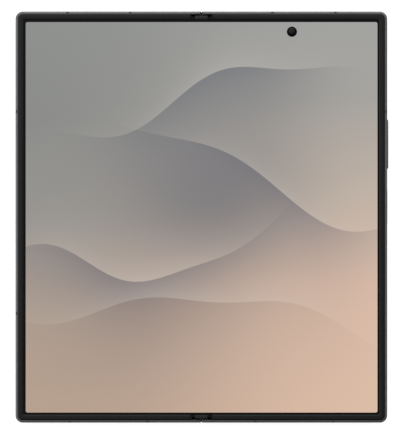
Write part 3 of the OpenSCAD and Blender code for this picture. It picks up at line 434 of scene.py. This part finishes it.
def finish_piece(obj, material, body, replaces, smooth):
    """Materials, smooth shading up to an angle, and the piece's place in the frame."""
    mesh = obj.data
    mesh.validate()
    mesh.materials.clear()
    for entry in material if isinstance(material, list) else [material]:
        mesh.materials.append(entry)
    mesh.polygons.foreach_set("use_smooth", [True] * len(mesh.polygons))
    mesh.update()
    sharpen(mesh, smooth)
    if body:
        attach(obj, body)
    if replaces:
        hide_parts(*replaces)
    return obj


def mark_faces(obj, marks):
    """Gives each face the material whose place in the piece's list is its mark."""
    obj.data.polygons.foreach_set("material_index", marks)


def merge(parts):
    """One list of points and faces from several."""
    verts, faces = [], []
    for part_verts, part_faces in parts:
        base = len(verts)
        verts += part_verts
        faces += [tuple(i + base for i in f) for f in part_faces]
    return verts, faces


def loft(rows, ring=False):
    """Closed skin over closed rows of points. ring joins the last row to the first, without end faces."""
    verts = [p for row in rows for p in row]
    n = len(rows[0])
    faces = []
    for i in range(len(rows) if ring else len(rows) - 1):
        a, b = i * n, (i + 1) % len(rows) * n
        for j in range(n):
            k = (j + 1) % n
            faces.append((a + j, a + k, b + k, b + j))
    if not ring:
        faces.append(tuple(reversed(range(n))))
        faces.append(tuple((len(rows) - 1) * n + j for j in range(n)))
    return verts, faces


def arc(cx, cy, r, start, end, steps):
    """Points on a circle, degrees from the first axis."""
    turns = [math.radians(start + (end - start) * i / steps) for i in range(steps + 1)]
    return [(cx + r * math.cos(turn), cy + r * math.sin(turn)) for turn in turns]


def half_outline(inset, x0, steps=10):
    """Plan of one half from its upper end at the fold round to the lower one."""
    w, l = HALF_W - inset, HALF_L - inset
    r = max(CORNER_R - inset, LEAST_CORNER_R)
    upper = arc(w - r, l - r, r, 90, 0, steps)
    lower = arc(w - r, r - l, r, 0, -90, steps)
    return [(x0, l)] + upper + lower + [(x0, -l)]


def stadium(length, height, steps=10):
    """Outline with straight long sides and round ends."""
    r = height / 2
    return arc(length / 2 - r, 0, r, -90, 90, steps) + arc(r - length / 2, 0, r, 90, 270, steps)


def turned(cx, cy, profile, steps=64):
    """Solid of revolution about the Z axis through (cx, cy). A profile point is (radius, z)."""
    rows = []
    for i in range(steps):
        a = 2 * math.pi * i / steps
        rows.append([(cx + r * math.cos(a), cy + r * math.sin(a), z) for r, z in profile])
    return loft(rows, ring=True)


def small_box(x0, x1, y0, y1, z0, z1, edge):
    """Box with a bevel round its upper and lower faces."""
    def ring(inset, z):
        xs, ys = (x0 + inset, x1 - inset), (y0 + inset, y1 - inset)
        return [(xs[0], ys[0], z), (xs[1], ys[0], z), (xs[1], ys[1], z), (xs[0], ys[1], z)]
    return loft([ring(edge, z0), ring(0, z0 + edge), ring(0, z1 - edge), ring(edge, z1)])


def wedge(x0, x1, y0, y1, low, inner, outer):
    """Strip whose upper face falls from its height on the side of y = 0 to its height on the outer side."""
    near, far = (inner, outer) if y0 > 0 else (outer, inner)
    corners = ((x0, y0, near), (x1, y0, near), (x1, y1, far), (x0, y1, far))
    return loft([[(x, y, low) for x, y, _ in corners], list(corners)])


# Refining a CAD node's mesh: how near points are one, how flat faces are joined, how edges stay smooth
WELD, FLAT_DEGREES, REFINED_SMOOTH, FACE_WEIGHT = 2e-6, 0.5, 32, 90


def refined(name, node, material, body):
    """Copy of a CAD node's mesh, welded and smooth over its rounded edges."""
    mesh = NODES[node].data.copy()
    mesh.name = name
    obj = bpy.data.objects.new(name, mesh)
    bpy.context.scene.collection.objects.link(obj)
    bm = bmesh.new()
    bm.from_mesh(mesh)
    bmesh.ops.remove_doubles(bm, verts=bm.verts, dist=WELD)
    bmesh.ops.dissolve_limit(bm, angle_limit=math.radians(FLAT_DEGREES), verts=bm.verts, edges=bm.edges)
    bm.to_mesh(mesh)
    bm.free()
    finish_piece(obj, material, body, (node,), REFINED_SMOOTH)
    weigh = obj.modifiers.new("weigh", "WEIGHTED_NORMAL")
    weigh.keep_sharp = True
    weigh.weight = FACE_WEIGHT
    return obj


# --- Display: narrow strips up to FOLD_X, and one flat field beyond ---
FOLD_L = HALF_L - BEZEL_INSET + SEAT_GAP
FOLD_X, FOLD_STRIPS, BEND_END = 7.0, 28, 5.2
SAME_POINT = 1e-4


def signed_area(ring):
    """Area of a flat ring of points, above 0 where it runs anticlockwise."""
    return sum(a[0] * b[1] - b[0] * a[1] for a, b in zip(ring, ring[1:] + ring[:1])) / 2


def display_plan(punched):
    """Points and faces of one half of the display seen from above."""
    points = [(FOLD_X * i / FOLD_STRIPS, y) for i in range(FOLD_STRIPS + 1) for y in (FOLD_L, -FOLD_L)]
    faces = [(2 * i, 2 * i + 1, 2 * i + 3, 2 * i + 2) for i in range(FOLD_STRIPS)]
    shared = range(2 * FOLD_STRIPS, 2 * FOLD_STRIPS + 2)
    loops = [half_outline(SCREEN_INSET, FOLD_X, steps=8) + [(FOLD_X, -FOLD_L), (FOLD_X, FOLD_L)]]
    if punched:
        loops.append(arc(*PUNCH, PUNCH_R, 0, 360, 48)[:-1])
    corners, edges = [], []
    for loop in loops:
        base = len(corners)
        corners += [Vector(p) for p in loop]
        edges += [(base + i, base + (i + 1) % len(loop)) for i in range(len(loop))]
    made, _, triangles, *_ = delaunay_2d_cdt(corners, edges, [], 1, 1e-6)
    index = []
    for p in made:
        match = [j for j in shared if (p - Vector(points[j])).length < SAME_POINT]
        if not match:
            points.append((p.x, p.y))
        index.append(match[0] if match else len(points) - 1)
    for triangle in triangles:
        middle = sum((made[i] for i in triangle), Vector((0, 0))) / 3
        if not punched or (middle - Vector(PUNCH)).length > PUNCH_R:
            faces.append(tuple(index[i] for i in triangle))
    return points, [f if signed_area([points[i] for i in f]) > 0 else f[::-1] for f in faces]


def slab(points, plan, low, high):
    """Closed slab over flat faces, with a mark for each face: 0 on its upper side and 1 elsewhere."""
    n = len(points)
    verts = [(x, y, z) for z in (high, low) for x, y in points]
    faces, marks, edges = [], [], {}
    for face in plan:
        faces += [face, tuple(i + n for i in reversed(face))]
        marks += [0, 1]
        edges.update(((a, b), True) for a, b in zip(face, face[1:] + face[:1]))
    for a, b in edges:
        if (b, a) not in edges:
            faces.append((b, a, a + n, b + n))
            marks.append(1)
    return verts, faces, marks


def display_half(name, materials, replaced, left, punched):
    """One half of the folding display, lit on its upper face only."""
    verts, faces, marks = slab(*display_plan(punched), SCREEN_Z, SCREEN_TOP)
    obj = piece(name, verts, faces, materials, left=left, uv=True)
    mark_faces(obj, marks)
    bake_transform(obj)
    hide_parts(*replaced)
    return obj


# Bezel: where its ends are, the run and drop of its sloping back, and its lip over the display
BEZEL_END_X = 4.25
BEZEL_BACK = ((0.0, 0.13), (0.2, 0.07), (0.4, 0.015), (0.55, 0.002), (0.7, 0.0))
LIP_INSET, LIP_NOSE, LIP_GAP, LIP_FOOT = BEZEL_INSET - 0.16, BEZEL_INSET - 0.02, 0.005, SCREEN_INSET - 0.12


def bezel(name, material, body, node, left):
    """Soft raised border: a foot beside the display, and a lip with a sloping back over its edge."""
    start = RIM_W + RIM_GAP
    profile = [(start, SCREEN_Z)] + [(start + run, BEZEL_TOP - drop) for run, drop in BEZEL_BACK]
    profile += [(LIP_INSET - 0.4, BEZEL_TOP), (LIP_INSET - 0.2, BEZEL_TOP - 0.02),
                (LIP_INSET, BEZEL_TOP - 0.06), (LIP_NOSE, SCREEN_TOP + 0.03),
                (LIP_NOSE, SCREEN_TOP + LIP_GAP), (LIP_FOOT, SCREEN_TOP + LIP_GAP), (LIP_FOOT, SCREEN_Z)]
    plans = [half_outline(inset, BEZEL_END_X) for inset, _ in profile]
    rows = [[(x, y, z) for (x, y), (_, z) in zip(spots, profile)] for spots in zip(*plans)]
    verts, faces = loft(rows)
    return piece(name, verts, faces, material, body, (node,), left, smooth=40)


# --- Ends of the fold: a block between two shoulders over a deep base, and strips on the rims' steps ---
CAP_INNER, CAP_BASE_OUTER = HALF_L - BEZEL_INSET + 2 * SEAT_GAP, SPINE_L / 2
CAP_BLOCK_X, CAP_BLOCK_Y, CAP_BLOCK_TOP = 2.4, HALF_L - 1.6, BEZEL_TOP - 0.05
SHOULDER_X, SHOULDER_Y, SHOULDER_TOP, SHOULDER_GAP, BASE_GAP = 3.85, HALF_L - 2.0, BEZEL_TOP - 0.2, 0.06, 0.01
CAP_EDGE, CAP_STEPS = 0.14, 10
RIB_Y0, RIB_Y1, RIB_ZS = SPINE_L / 2 - 0.2, SPINE_L / 2 + 0.95, (AXIS_Z + 0.3, AXIS_Z + 0.5, HALF_T - 0.45)
STRIP_X, STRIP_LOW, STRIP_TOP, STRIP_FALL = 0.5, SCREEN_Z - 0.01, 4.12, 0.12
STRIP_CORNER_X, STRIP_CORNER_TOP = 4.06, SCREEN_Z + 0.03


def cap_top(x, high):
    """Highest point of a cap's section at x: the fold circles limit it."""
    reach = SPINE_R - 0.02
    rise = math.sqrt(max(reach ** 2 - max(abs(x) - AXIS_X, 0) ** 2, 0))
    return min(high, AXIS_Z + rise)


def cap_block(xs, high, y0, y1):
    """Block between two x planes with rounded upper edges, inside the fold circles."""
    x0, x1 = sorted(xs)
    section = []
    for i in range(CAP_STEPS + 1):
        x = x0 + (x1 - x0) * i / CAP_STEPS
        side = min(abs(x - x0), abs(x - x1))
        section.append((x, cap_top(x, high) - max(CAP_EDGE - side, 0) ** 2 / (2 * CAP_EDGE)))
    rounding = ((0.0, CAP_EDGE), (0.3 * CAP_EDGE, 0.3 * CAP_EDGE), (CAP_EDGE, 0.0))
    rows = [(y0 + run, drop) for run, drop in rounding] + [(y1 - run, drop) for run, drop in rounding[::-1]]
    return loft([[(x, y, z - drop) for x, z in section] + [(x1, y, SPINE_RIM_Z), (x0, y, SPINE_RIM_Z)]
                 for y, drop in rows])


def cap_rib():
    """Rib in the notch between the round noses of the end walls."""
    side = [(AXIS_X - math.sqrt(AXIS_X ** 2 - (z - AXIS_Z) ** 2), z) for z in RIB_ZS]
    outline = side + [(-x, z) for x, z in reversed(side)]
    return loft([[(x, y, z) for x, z in outline] for y in (RIB_Y0, RIB_Y1)])


def end_caps(name, materials):
    """Closing caps at both ends of the fold."""
    block = (-CAP_BLOCK_X, CAP_BLOCK_X)
    # Mark 2, the near-black plastic, paints the shade on the rib in the notch and on the outer parts of the
    # deep base.
    blocks = [(cap_block(block, CAP_BLOCK_TOP, CAP_INNER, CAP_BLOCK_Y), 0),
              (cap_block(block, AXIS_Z, CAP_INNER, CAP_BASE_OUTER), 0), (cap_rib(), 2)]
    for s in (-1, 1):
        shoulder = (s * (CAP_BLOCK_X + SHOULDER_GAP), s * SHOULDER_X)
        # The shoulders take the darker copy of the cap plastic, which paints shade on them.
        blocks.append((cap_block(shoulder, SHOULDER_TOP, CAP_INNER, SHOULDER_Y), 1))
        base = (s * (CAP_BLOCK_X + BASE_GAP), s * SHOULDER_X)
        blocks.append((cap_block(base, AXIS_Z, CAP_INNER, CAP_BASE_OUTER), 2))
    verts, faces = merge([part for part, _ in blocks])
    marks = [mark for part, mark in blocks for _ in part[1]]
    lower = [(x, -y, z) for x, y, z in verts], [f[::-1] for f in faces]
    verts, faces = merge([(verts, faces), lower])
    obj = piece(name, verts, faces, materials, "spine", ("hinge_end_caps",), smooth=35)
    mark_faces(obj, marks + marks)
    return obj


def end_gaskets(name, materials, body, left):
    """On the step inside the rim, a strip that falls outwards, and a near-black corner by the bezel's end
    that paints the shade there.
    """
    low, high = HALF_L - WALL_T, HALF_L - RIM_W - RIM_GAP
    strips = [(STRIP_X, BEZEL_END_X, low, high, STRIP_TOP, STRIP_TOP - STRIP_FALL, 0),
              (STRIP_CORNER_X, BEZEL_END_X, FOLD_L + SEAT_GAP, low, STRIP_CORNER_TOP, STRIP_CORNER_TOP, 1)]
    strips += [(x0, x1, -y1, -y0, *rest) for x0, x1, y0, y1, *rest in strips]
    parts = [wedge(x0, x1, y0, y1, STRIP_LOW, inner, outer) for x0, x1, y0, y1, inner, outer, _ in strips]
    obj = piece(name, *merge(parts), materials, body, left=left, smooth=20, slot="black_trim")
    mark_faces(obj, [strip[-1] for strip, part in zip(strips, parts) for _ in part[1]])
    return obj


# --- Keys ---
KEY_GAP, KEY_FLANGE_OVER = 0.1, 0.3


def key(name, material, body, node, y, length, out, edge, dish):
    """A key cap through the wall: a flange, a straight neck and a crowned outer face."""
    back, face, length = HALF_W - WALL_T - KEY_PLAY, HALF_W + out, length - KEY_GAP
    flange = (length + KEY_FLANGE_OVER, KEY_H + KEY_FLANGE_OVER)
    sections = [(back - KEY_FLANGE_T, *flange), (back, *flange), (back, length, KEY_H),
                (face - edge, length, KEY_H)]
    for degrees in (30, 60, 90):
        turn = math.radians(degrees)
        inset = 2 * edge * (1 - math.cos(turn))
        sections.append((face - edge + edge * math.sin(turn), length - inset, KEY_H - inset))
    sections.append((face - dish, length - 4 * edge, KEY_H - 3 * edge))
    verts, faces = loft([[(x, y + p, KEY_Z + q) for p, q in stadium(l, h)] for x, l, h in sections])
    return piece(name, verts, faces, material, body, (node,), smooth=35)


# --- Cameras ---
# Profiles are (radius, z). A ring's radii count from the lens or from its outside, its z from the table.
RING_PROFILE = (
    [(LENS_R + r, z) for r, z in ((0, 0.95), (0, 0.3), (0.15, 0.16), (0.22, 0.05), (0.34, 0))]
    + [(RING_R - r, z) for r, z in ((0.5, 0), (0.24, 0.06), (0.07, 0.2), (0, 0.42), (0, 0.56), (0.07, 0.6),
                                    (0.07, 0.68), (0, 0.72), (0, 1.0))]
    + [(LENS_R, 1.0)]
)
AXLE_R = 0.001  # radius of a solid's innermost points, so that no face has zero size
COVER_Z, COVER_R = 0.15 - LIFT, LENS_R - 0.06
COVER_PROFILE = ((AXLE_R, 0), (COVER_R - 0.1, 0), (COVER_R, 0.08), (COVER_R, 0.42), (COVER_R - 0.06, 0.48),
                 (COVER_R * 0.62, 0.48), (COVER_R * 0.56, 0.42), (COVER_R * 0.5, 0.48), (AXLE_R, 0.48))
MARK_PROFILE = ((2.6, -0.001), (2.75, -0.02), (2.95, -0.02), (3.05, -0.001), (3.05, 0.05), (2.6, 0.05))
SEAT_R = PUNCH_R - 0.05
SEAT_PROFILE = ((SEAT_R - 0.06, 0.02), (SEAT_R - 0.28, 0.02), (SEAT_R - 0.34, 0.1), (1.3, 0.16),
                (AXLE_R, 0.16))
DOME_PROFILE = ((AXLE_R, 0.02), (0.5, 0.03), (0.9, 0.06), (1.15, 0.1), (1.25, 0.15), (AXLE_R, 0.15))
WINDOW_PROFILE = ((AXLE_R, -0.004), (1.28, -0.004), (1.33, -0.02), (1.62, -0.02), (1.68, 0.02),
                  (AXLE_R, 0.02))


def at_lenses(profile, z0, steps):
    """One turned solid at each rear lens, its profile counted from z0."""
    raised = [(r, z0 + z) for r, z in profile]
    return merge([turned(CAMERA_X, y, raised, steps) for y in LENS_YS])


def camera_rings(name, material):
    """Bevelled rings with a knurled step round each rear lens."""
    verts, faces = at_lenses(RING_PROFILE, -LIFT, 80)
    return piece(name, verts, faces, material, "main_half", ("camera_rings",), smooth=28)


def camera_lenses(name, glass, barrel):
    """Cover lenses with a ground edge and a ring mark, and metal rings on their faces."""
    verts, faces = at_lenses(COVER_PROFILE, COVER_Z, 72)
    piece(name, verts, faces, glass, "main_half", ("camera_lenses",), smooth=25)
    verts, faces = at_lenses(MARK_PROFILE, COVER_Z, 72)
    return piece(name + "_marks", verts, faces, barrel, "main_half", smooth=25, slot="ring_metal")


def front_lens(name, glass, trim):
    """The camera in the display: a dark ring, a stepped seat and a small domed element."""
    seat = [(AXLE_R, SCREEN_Z), (SEAT_R, SCREEN_Z), (SEAT_R, SCREEN_TOP - 0.06)]
    seat += [(r, SCREEN_TOP - drop) for r, drop in SEAT_PROFILE]
    verts, faces = turned(*PUNCH, seat)
    obj = piece(name, verts, faces, trim, "main_half", ("front_camera_lens",), smooth=25)
    verts, faces = turned(*PUNCH, [(r, SCREEN_TOP - drop) for r, drop in DOME_PROFILE], 48)
    piece(name + "_element", verts, faces, glass, "main_half", smooth=40, slot="dark_glass")
    return obj


def cover_window(name, material):
    """The ring and lens of the outer camera, flush in the cover glass."""
    verts, faces = turned(*OUTER_CAMERA, WINDOW_PROFILE)
    return piece(name, verts, faces, material, "cover_half", left=True, smooth=25, slot="dark_glass")


# --- Charging port: contacts in a row, their pitch, half width, reach from the edge, and height ---
CONTACTS, CONTACT_PITCH, CONTACT_HALF_W = 12, 0.5, 0.13
CONTACT_YS, CONTACT_ZS, CONTACT_EDGE = (1.3 - HALF_L, 4.6 - HALF_L), (0.34, 0.38), 0.01


def port_contacts(name, material):
    """A row of contacts on each side of the port's tongue."""
    pads = []
    for i in range(CONTACTS):
        x = PORT_X + (i - (CONTACTS - 1) / 2) * CONTACT_PITCH
        for side in (1, -1):
            z0, z1 = sorted(PORT_Z + side * z for z in CONTACT_ZS)
            pads.append(small_box(x - CONTACT_HALF_W, x + CONTACT_HALF_W, *CONTACT_YS, z0, z1, CONTACT_EDGE))
    verts, faces = merge(pads)
    return piece(name, verts, faces, material, "main_half", smooth=20, slot="gear_metal")


# --- Flexible circuits across the fold: a section's points are (x, z) of its lower side ---
FLEX_FLOOR_Z, FLEX_RIM_Z, FLEX_HALF_Z, FLEX_END_X = 0.80, 2.36, 1.73, 16.0
FLEX_MIDDLE = ((0.0, FLEX_FLOOR_Z), (AXIS_X, FLEX_FLOOR_Z))
FLEX_WALL = (-80, -20, 6)  # degrees round the axis along the spine's inner wall, and steps
FLEX_LIP_LOW, FLEX_LIP_HIGH = (3.6, 2.35), (3.5, 2.47)
FLEX_BEYOND = ((3.7, FLEX_RIM_Z), (3.8, FLEX_RIM_Z), (3.95, FLEX_RIM_Z), (4.2, FLEX_HALF_Z),
               (FLEX_END_X, FLEX_HALF_Z))


def flex_section():
    """Lower and upper points from the spine's middle: along its inner wall, over its rim, into the half."""
    sides = []
    for rise, radius, lip in ((0.0, FLEX_R, FLEX_LIP_LOW), (FLEX_T, FLEX_R - FLEX_T, FLEX_LIP_HIGH)):
        middle, beyond = ([(x, z + rise) for x, z in part] for part in (FLEX_MIDDLE, FLEX_BEYOND))
        sides.append(middle + arc(AXIS_X, AXIS_Z, radius, *FLEX_WALL) + [lip] + beyond)
    return sides


def flex_cable(name, material, left, replaced=()):
    """Both cables of one half. They stay against the spine's wall, so the tilted wing plate clears them."""
    parts = []
    for y0, y1 in FLEX_YS:
        rows = [[(x0, y0, z0), (x0, y1, z0), (x1, y1, z1), (x1, y0, z1)]
                for (x0, z0), (x1, z1) in zip(*flex_section())]
        parts.append(loft(rows))
    verts, faces = merge(parts)
    obj = piece(name, verts, faces, material, left=left)
    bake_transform(obj)
    if replaced:
        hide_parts(*replaced)
    return obj


# --- Materials ---
COIL_MIDDLE = (33.1, -29)
M = {
    "frame": blasted_metal("frame_anodised", linear(0.172, 0.172, 0.178), 0.36, 0.1),
    "key": blasted_metal("key_anodised", linear(0.17, 0.172, 0.182), 0.32, 0.2),
    "spine": blasted_metal("spine_anodised", linear(0.17, 0.172, 0.18), 0.38),
    "island": blasted_metal("island_anodised", linear(0.10, 0.102, 0.108), 0.4),
    "ring": brushed_metal("ring_turned", linear(0.42, 0.43, 0.45), 0.2, along=(1, 1, 1), scale=3.0),
    "back": plastic("back_etched_glass", linear(0.030, 0.032, 0.036), 0.38, 9.0, 0.12, 0.06, coat=0.15),
    "glass": dark_glass("cover_black_glass", linear(0.006, 0.006, 0.007)),
    "bezel": plastic("bezel_soft_black", linear(0.0022, 0.0022, 0.0023), 0.36, 6.0, 0.12, shine=0.33),
    "cap": plastic("cap_satin", linear(0.019, 0.019, 0.020), 0.42, 6.0, 0.12, shine=0.25),
    # Darker, duller copy of the cap plastic: painted shade on the shoulders beside the cap's block.
    "cap_painted_shade": plastic("cap_shoulder_painted_shade", linear(0.004, 0.004, 0.004), 0.6, 6.0, 0.12, shine=0.15),
    # Near-black, dull plastic: the real black of the front camera's ring, and painted shade on the caps' deep
    # outer base and rib and in the corners by the bezel's ends.
    "black_and_painted_shade": plastic("black_and_shade_plastic", linear(0.0012, 0.0012, 0.0012), 0.7, 6.0, 0.12, shine=0.05),
    "steel": brushed_metal("steel_ground", linear(0.50, 0.50, 0.51), 0.3),
    "hinge": brushed_metal("hinge_sintered", linear(0.30, 0.305, 0.32), 0.38, along=(1, 0.3, 1)),
    "brass": brushed_metal("gear_brass", linear(0.60, 0.45, 0.20), 0.28),
    "board": circuit("board_mask", srgb(18, 66, 42)),
    "cell": cell_wrap("cell_foil"),
    "coil": wound_copper("coil_wire", COIL_MIDDLE),
    "break": plastic("break_resin", linear(0.03, 0.03, 0.032), 0.45, 8.0, 0.15, shine=0.3),
    "flash": frosted("flash_diffuser"),
    "flex": polyimide("flex_film"),
    "module": plastic("module_black", linear(0.02, 0.02, 0.022), 0.4),
    "lens": lens_glass("front_element", PUNCH, srgb(30, 31, 36), radius=1.9),
    "rear_lens": lens_glass("rear_lens_glass", (CAMERA_X, LENS_YS[1]), srgb(30, 36, 62), radius=LENS_R,
                            pitch=LENS_YS[1] - LENS_YS[0]),
    "gold": brushed_metal("contact_gold", linear(0.72, 0.52, 0.22), 0.25),
    "screen": lit_screen("display_picture"),
    "film": plastic("display_backing", linear(0.004, 0.004, 0.0042), 0.5, shine=0.2),
}
SLOT_MATERIAL = {
    "frame_metal": "frame", "back_glass": "back", "island_metal": "island", "ring_metal": "ring",
    "dark_glass": "glass", "screen": "screen", "black_trim": "bezel", "black_part": "module",
    "steel": "steel", "hinge_metal": "hinge", "spine_metal": "spine", "gear_metal": "brass",
    "board_green": "board", "cell_wrap": "cell", "copper": "coil", "break_plastic": "break",
    "flash_white": "flash", "flex_orange": "flex",
}


def dress_cad_nodes():
    """Every carried-over CAD node gets the material of its slot."""
    for part in frame["record"]["subparts"]:
        materials = NODES[part["node"]].data.materials
        materials.clear()
        materials.append(M[SLOT_MATERIAL[part["material_slot"]]])


def build_phone():
    refined("frame_right", "main_frame", M["frame"], "main_half")
    refined("frame_left", "cover_frame", M["frame"], "cover_half")
    refined("breaks_right", "main_antenna_breaks", M["break"], "main_half")
    refined("breaks_left", "cover_antenna_breaks", M["break"], "cover_half")
    refined("back_right", "rear_glass", M["back"], "main_half")
    refined("back_left", "cover_glass", M["glass"], "cover_half")
    refined("spine_shell", "hinge_spine", M["spine"], "spine")
    refined("island", "camera_island", M["island"], "main_half")
    refined("port_lining", "port_shell", M["steel"], "main_half")
    refined("port_blade", "port_tongue", M["module"], "main_half")
    refined("tray_body", "card_tray", M["frame"], "tray")
    display, strip = [M["screen"], M["film"]], [M["bezel"], M["black_and_painted_shade"]]
    display_half("display_sheet_right", display, ("display_right", "display_fold"), False, True)
    display_half("display_sheet_left", display, ("display_left",), True, False)
    bezel("bezel_right", M["bezel"], "main_half", "main_bezel", False)
    bezel("bezel_left", M["bezel"], "cover_half", "cover_bezel", True)
    end_caps("fold_caps", [M["cap"], M["cap_painted_shade"], M["black_and_painted_shade"]])
    end_gaskets("gasket_right", strip, "main_half", False)
    end_gaskets("gasket_left", strip, "cover_half", True)
    key("volume_rocker_cap", M["key"], "volume_rocker", "volume_key",
        y=28.1, length=19.0, out=0.48, edge=0.22, dish=0.03)
    key("side_button_cap", M["key"], "side_button", "side_key",
        y=4.0, length=13.9, out=0.13, edge=0.12, dish=0.02)
    camera_rings("lens_rings", M["ring"])
    camera_lenses("lens_covers", M["rear_lens"], M["ring"])
    front_lens("selfie_lens", M["lens"], M["black_and_painted_shade"])
    port_contacts("port_pads", M["gold"])
    flex_cable("flex_right", M["flex"], False, ("flex_cables",))
    flex_cable("flex_left", M["flex"], True)
    cover_window("outer_camera_window", M["glass"])


# --- Studio ---
FLOOR_HALF, FLOOR_SEEN, FLOOR_MIRRORED = 6.0, 0.72, 0.1
SKY_MIDDLE, SKY_LOWEST, SKY_HIGHEST = 0.55, 0.03, 1.1
HORIZON_LEVEL, HORIZON_END, OVERHEAD_START, STUDIO_LIGHT = 0.42, 0.35, 0.8, 0.45
SKY_REACH, SKY_ACROSS, SKY_ALONG = 0.6, (0.6, -0.6), (-0.7, 0.75)
CAMERA_PLACE, CAMERA_DISTANCE, CAMERA_AIM_Z = (0.00043, -0.00112), 1.0, 0.0059
SENSOR_MM, PICTURE_TALL = 36.0, 0.169525


def mirrored(g, rays):
    """1 where a ray is reflected or goes through, 0 elsewhere."""
    return g.math("MAXIMUM", rays["Is Glossy Ray"], rays["Is Transmission Ray"])


def floor():
    """White floor: near white for the camera, dim in reflections, and the phone's shadow stays."""
    s = FLOOR_HALF
    mesh = bpy.data.meshes.new("floor")
    mesh.from_pydata([(-s, -s, 0), (s, -s, 0), (s, s, 0), (-s, s, 0)], [], [(0, 1, 2, 3)])
    obj = bpy.data.objects.new("floor", mesh)
    bpy.context.scene.collection.objects.link(obj)
    g = graph("floor_white")
    rays = g.node("ShaderNodeLightPath").outputs
    seen = g.math("MULTIPLY", rays["Is Camera Ray"], FLOOR_SEEN)
    level = g.math("ADD", seen, g.math("MULTIPLY", mirrored(g, rays), FLOOR_MIRRORED))
    grain = g.noise(g.node("ShaderNodeTexCoord").outputs["Object"], 40.0)
    base = g.mix(grain, linear(0.78, 0.78, 0.78), linear(0.8, 0.8, 0.8))
    lit = g.node("ShaderNodeBsdfDiffuse", {"Color": base})
    glow = g.node("ShaderNodeEmission", {"Color": WHITE, "Strength": level})
    both = g.node("ShaderNodeAddShader", {0: lit.outputs[0], 1: glow.outputs[0]})
    g.node("ShaderNodeOutputMaterial", {0: both.outputs[0]})
    mesh.materials.append(g.block)


def world():
    """White for the camera. Reflections see a sky that is even near the horizon, and overhead is bright
    towards the phone's top left and dark towards its bottom right."""
    block = bpy.data.worlds.new("studio")
    bpy.context.scene.world = block
    g = Graph(block)
    rays = g.node("ShaderNodeLightPath").outputs
    way = g.axes(g.node("ShaderNodeTexCoord").outputs["Generated"])
    across = g.spread(way[0], -SKY_REACH, SKY_REACH, *SKY_ACROSS)
    along = g.spread(way[1], -SKY_REACH, SKY_REACH, *SKY_ALONG)
    tilted = g.math("ADD", SKY_MIDDLE, g.math("ADD", across, along))
    slope = g.math("MINIMUM", g.math("MAXIMUM", tilted, SKY_LOWEST), SKY_HIGHEST)
    overhead = g.step(way[2], HORIZON_END, OVERHEAD_START)
    horizon = g.step(overhead, 0.0, 1.0, HORIZON_LEVEL, 0.0)
    sky_level = g.math("ADD", g.math("MULTIPLY", slope, overhead), horizon)
    mirror = mirrored(g, rays)
    diffuse = g.math("MULTIPLY", g.math("SUBTRACT", 1.0, mirror), STUDIO_LIGHT)
    level = g.math("ADD", g.math("MULTIPLY", mirror, sky_level), diffuse)
    strength = g.math("MAXIMUM", level, rays["Is Camera Ray"])
    shown = g.node("ShaderNodeBackground", {"Color": WHITE, "Strength": strength})
    g.node("ShaderNodeOutputWorld", {0: shown.outputs[0]})


def softbox(name, place, size, power, tint=(1, 1, 1)):
    """Area light that faces the phone."""
    data = bpy.data.lights.new(name, "AREA")
    data.shape = "RECTANGLE"
    data.size, data.size_y = size
    data.energy = power
    data.color = tint
    obj = bpy.data.objects.new(name, data)
    obj.location = place
    obj.rotation_euler = (-Vector(place)).to_track_quat("-Z", "Y").to_euler()
    bpy.context.scene.collection.objects.link(obj)


def camera():
    """Square above the phone, with a long lens. The picture is PICTURE_TALL metres tall at the display."""
    data = bpy.data.cameras.new("camera")
    data.type = "PERSP"
    data.sensor_width = SENSOR_MM
    data.lens = SENSOR_MM * CAMERA_DISTANCE / PICTURE_TALL
    data.clip_start, data.clip_end = 0.01, 20.0
    obj = bpy.data.objects.new("camera", data)
    obj.location = (*CAMERA_PLACE, CAMERA_AIM_Z + CAMERA_DISTANCE)
    bpy.context.scene.collection.objects.link(obj)
    bpy.context.scene.camera = obj


dress_cad_nodes()
build_phone()
floor()
world()
softbox("key_top", (0.0, 0.62, 0.62), (1.1, 0.5), 2.2)
softbox("side_left", (-0.75, 0.05, 0.5), (0.5, 1.0), 1.3)
softbox("side_right", (0.75, 0.05, 0.5), (0.5, 1.0), 0.5, (0.94, 0.96, 1.0))
camera()
bpy.context.scene.view_settings.view_transform = "Standard"
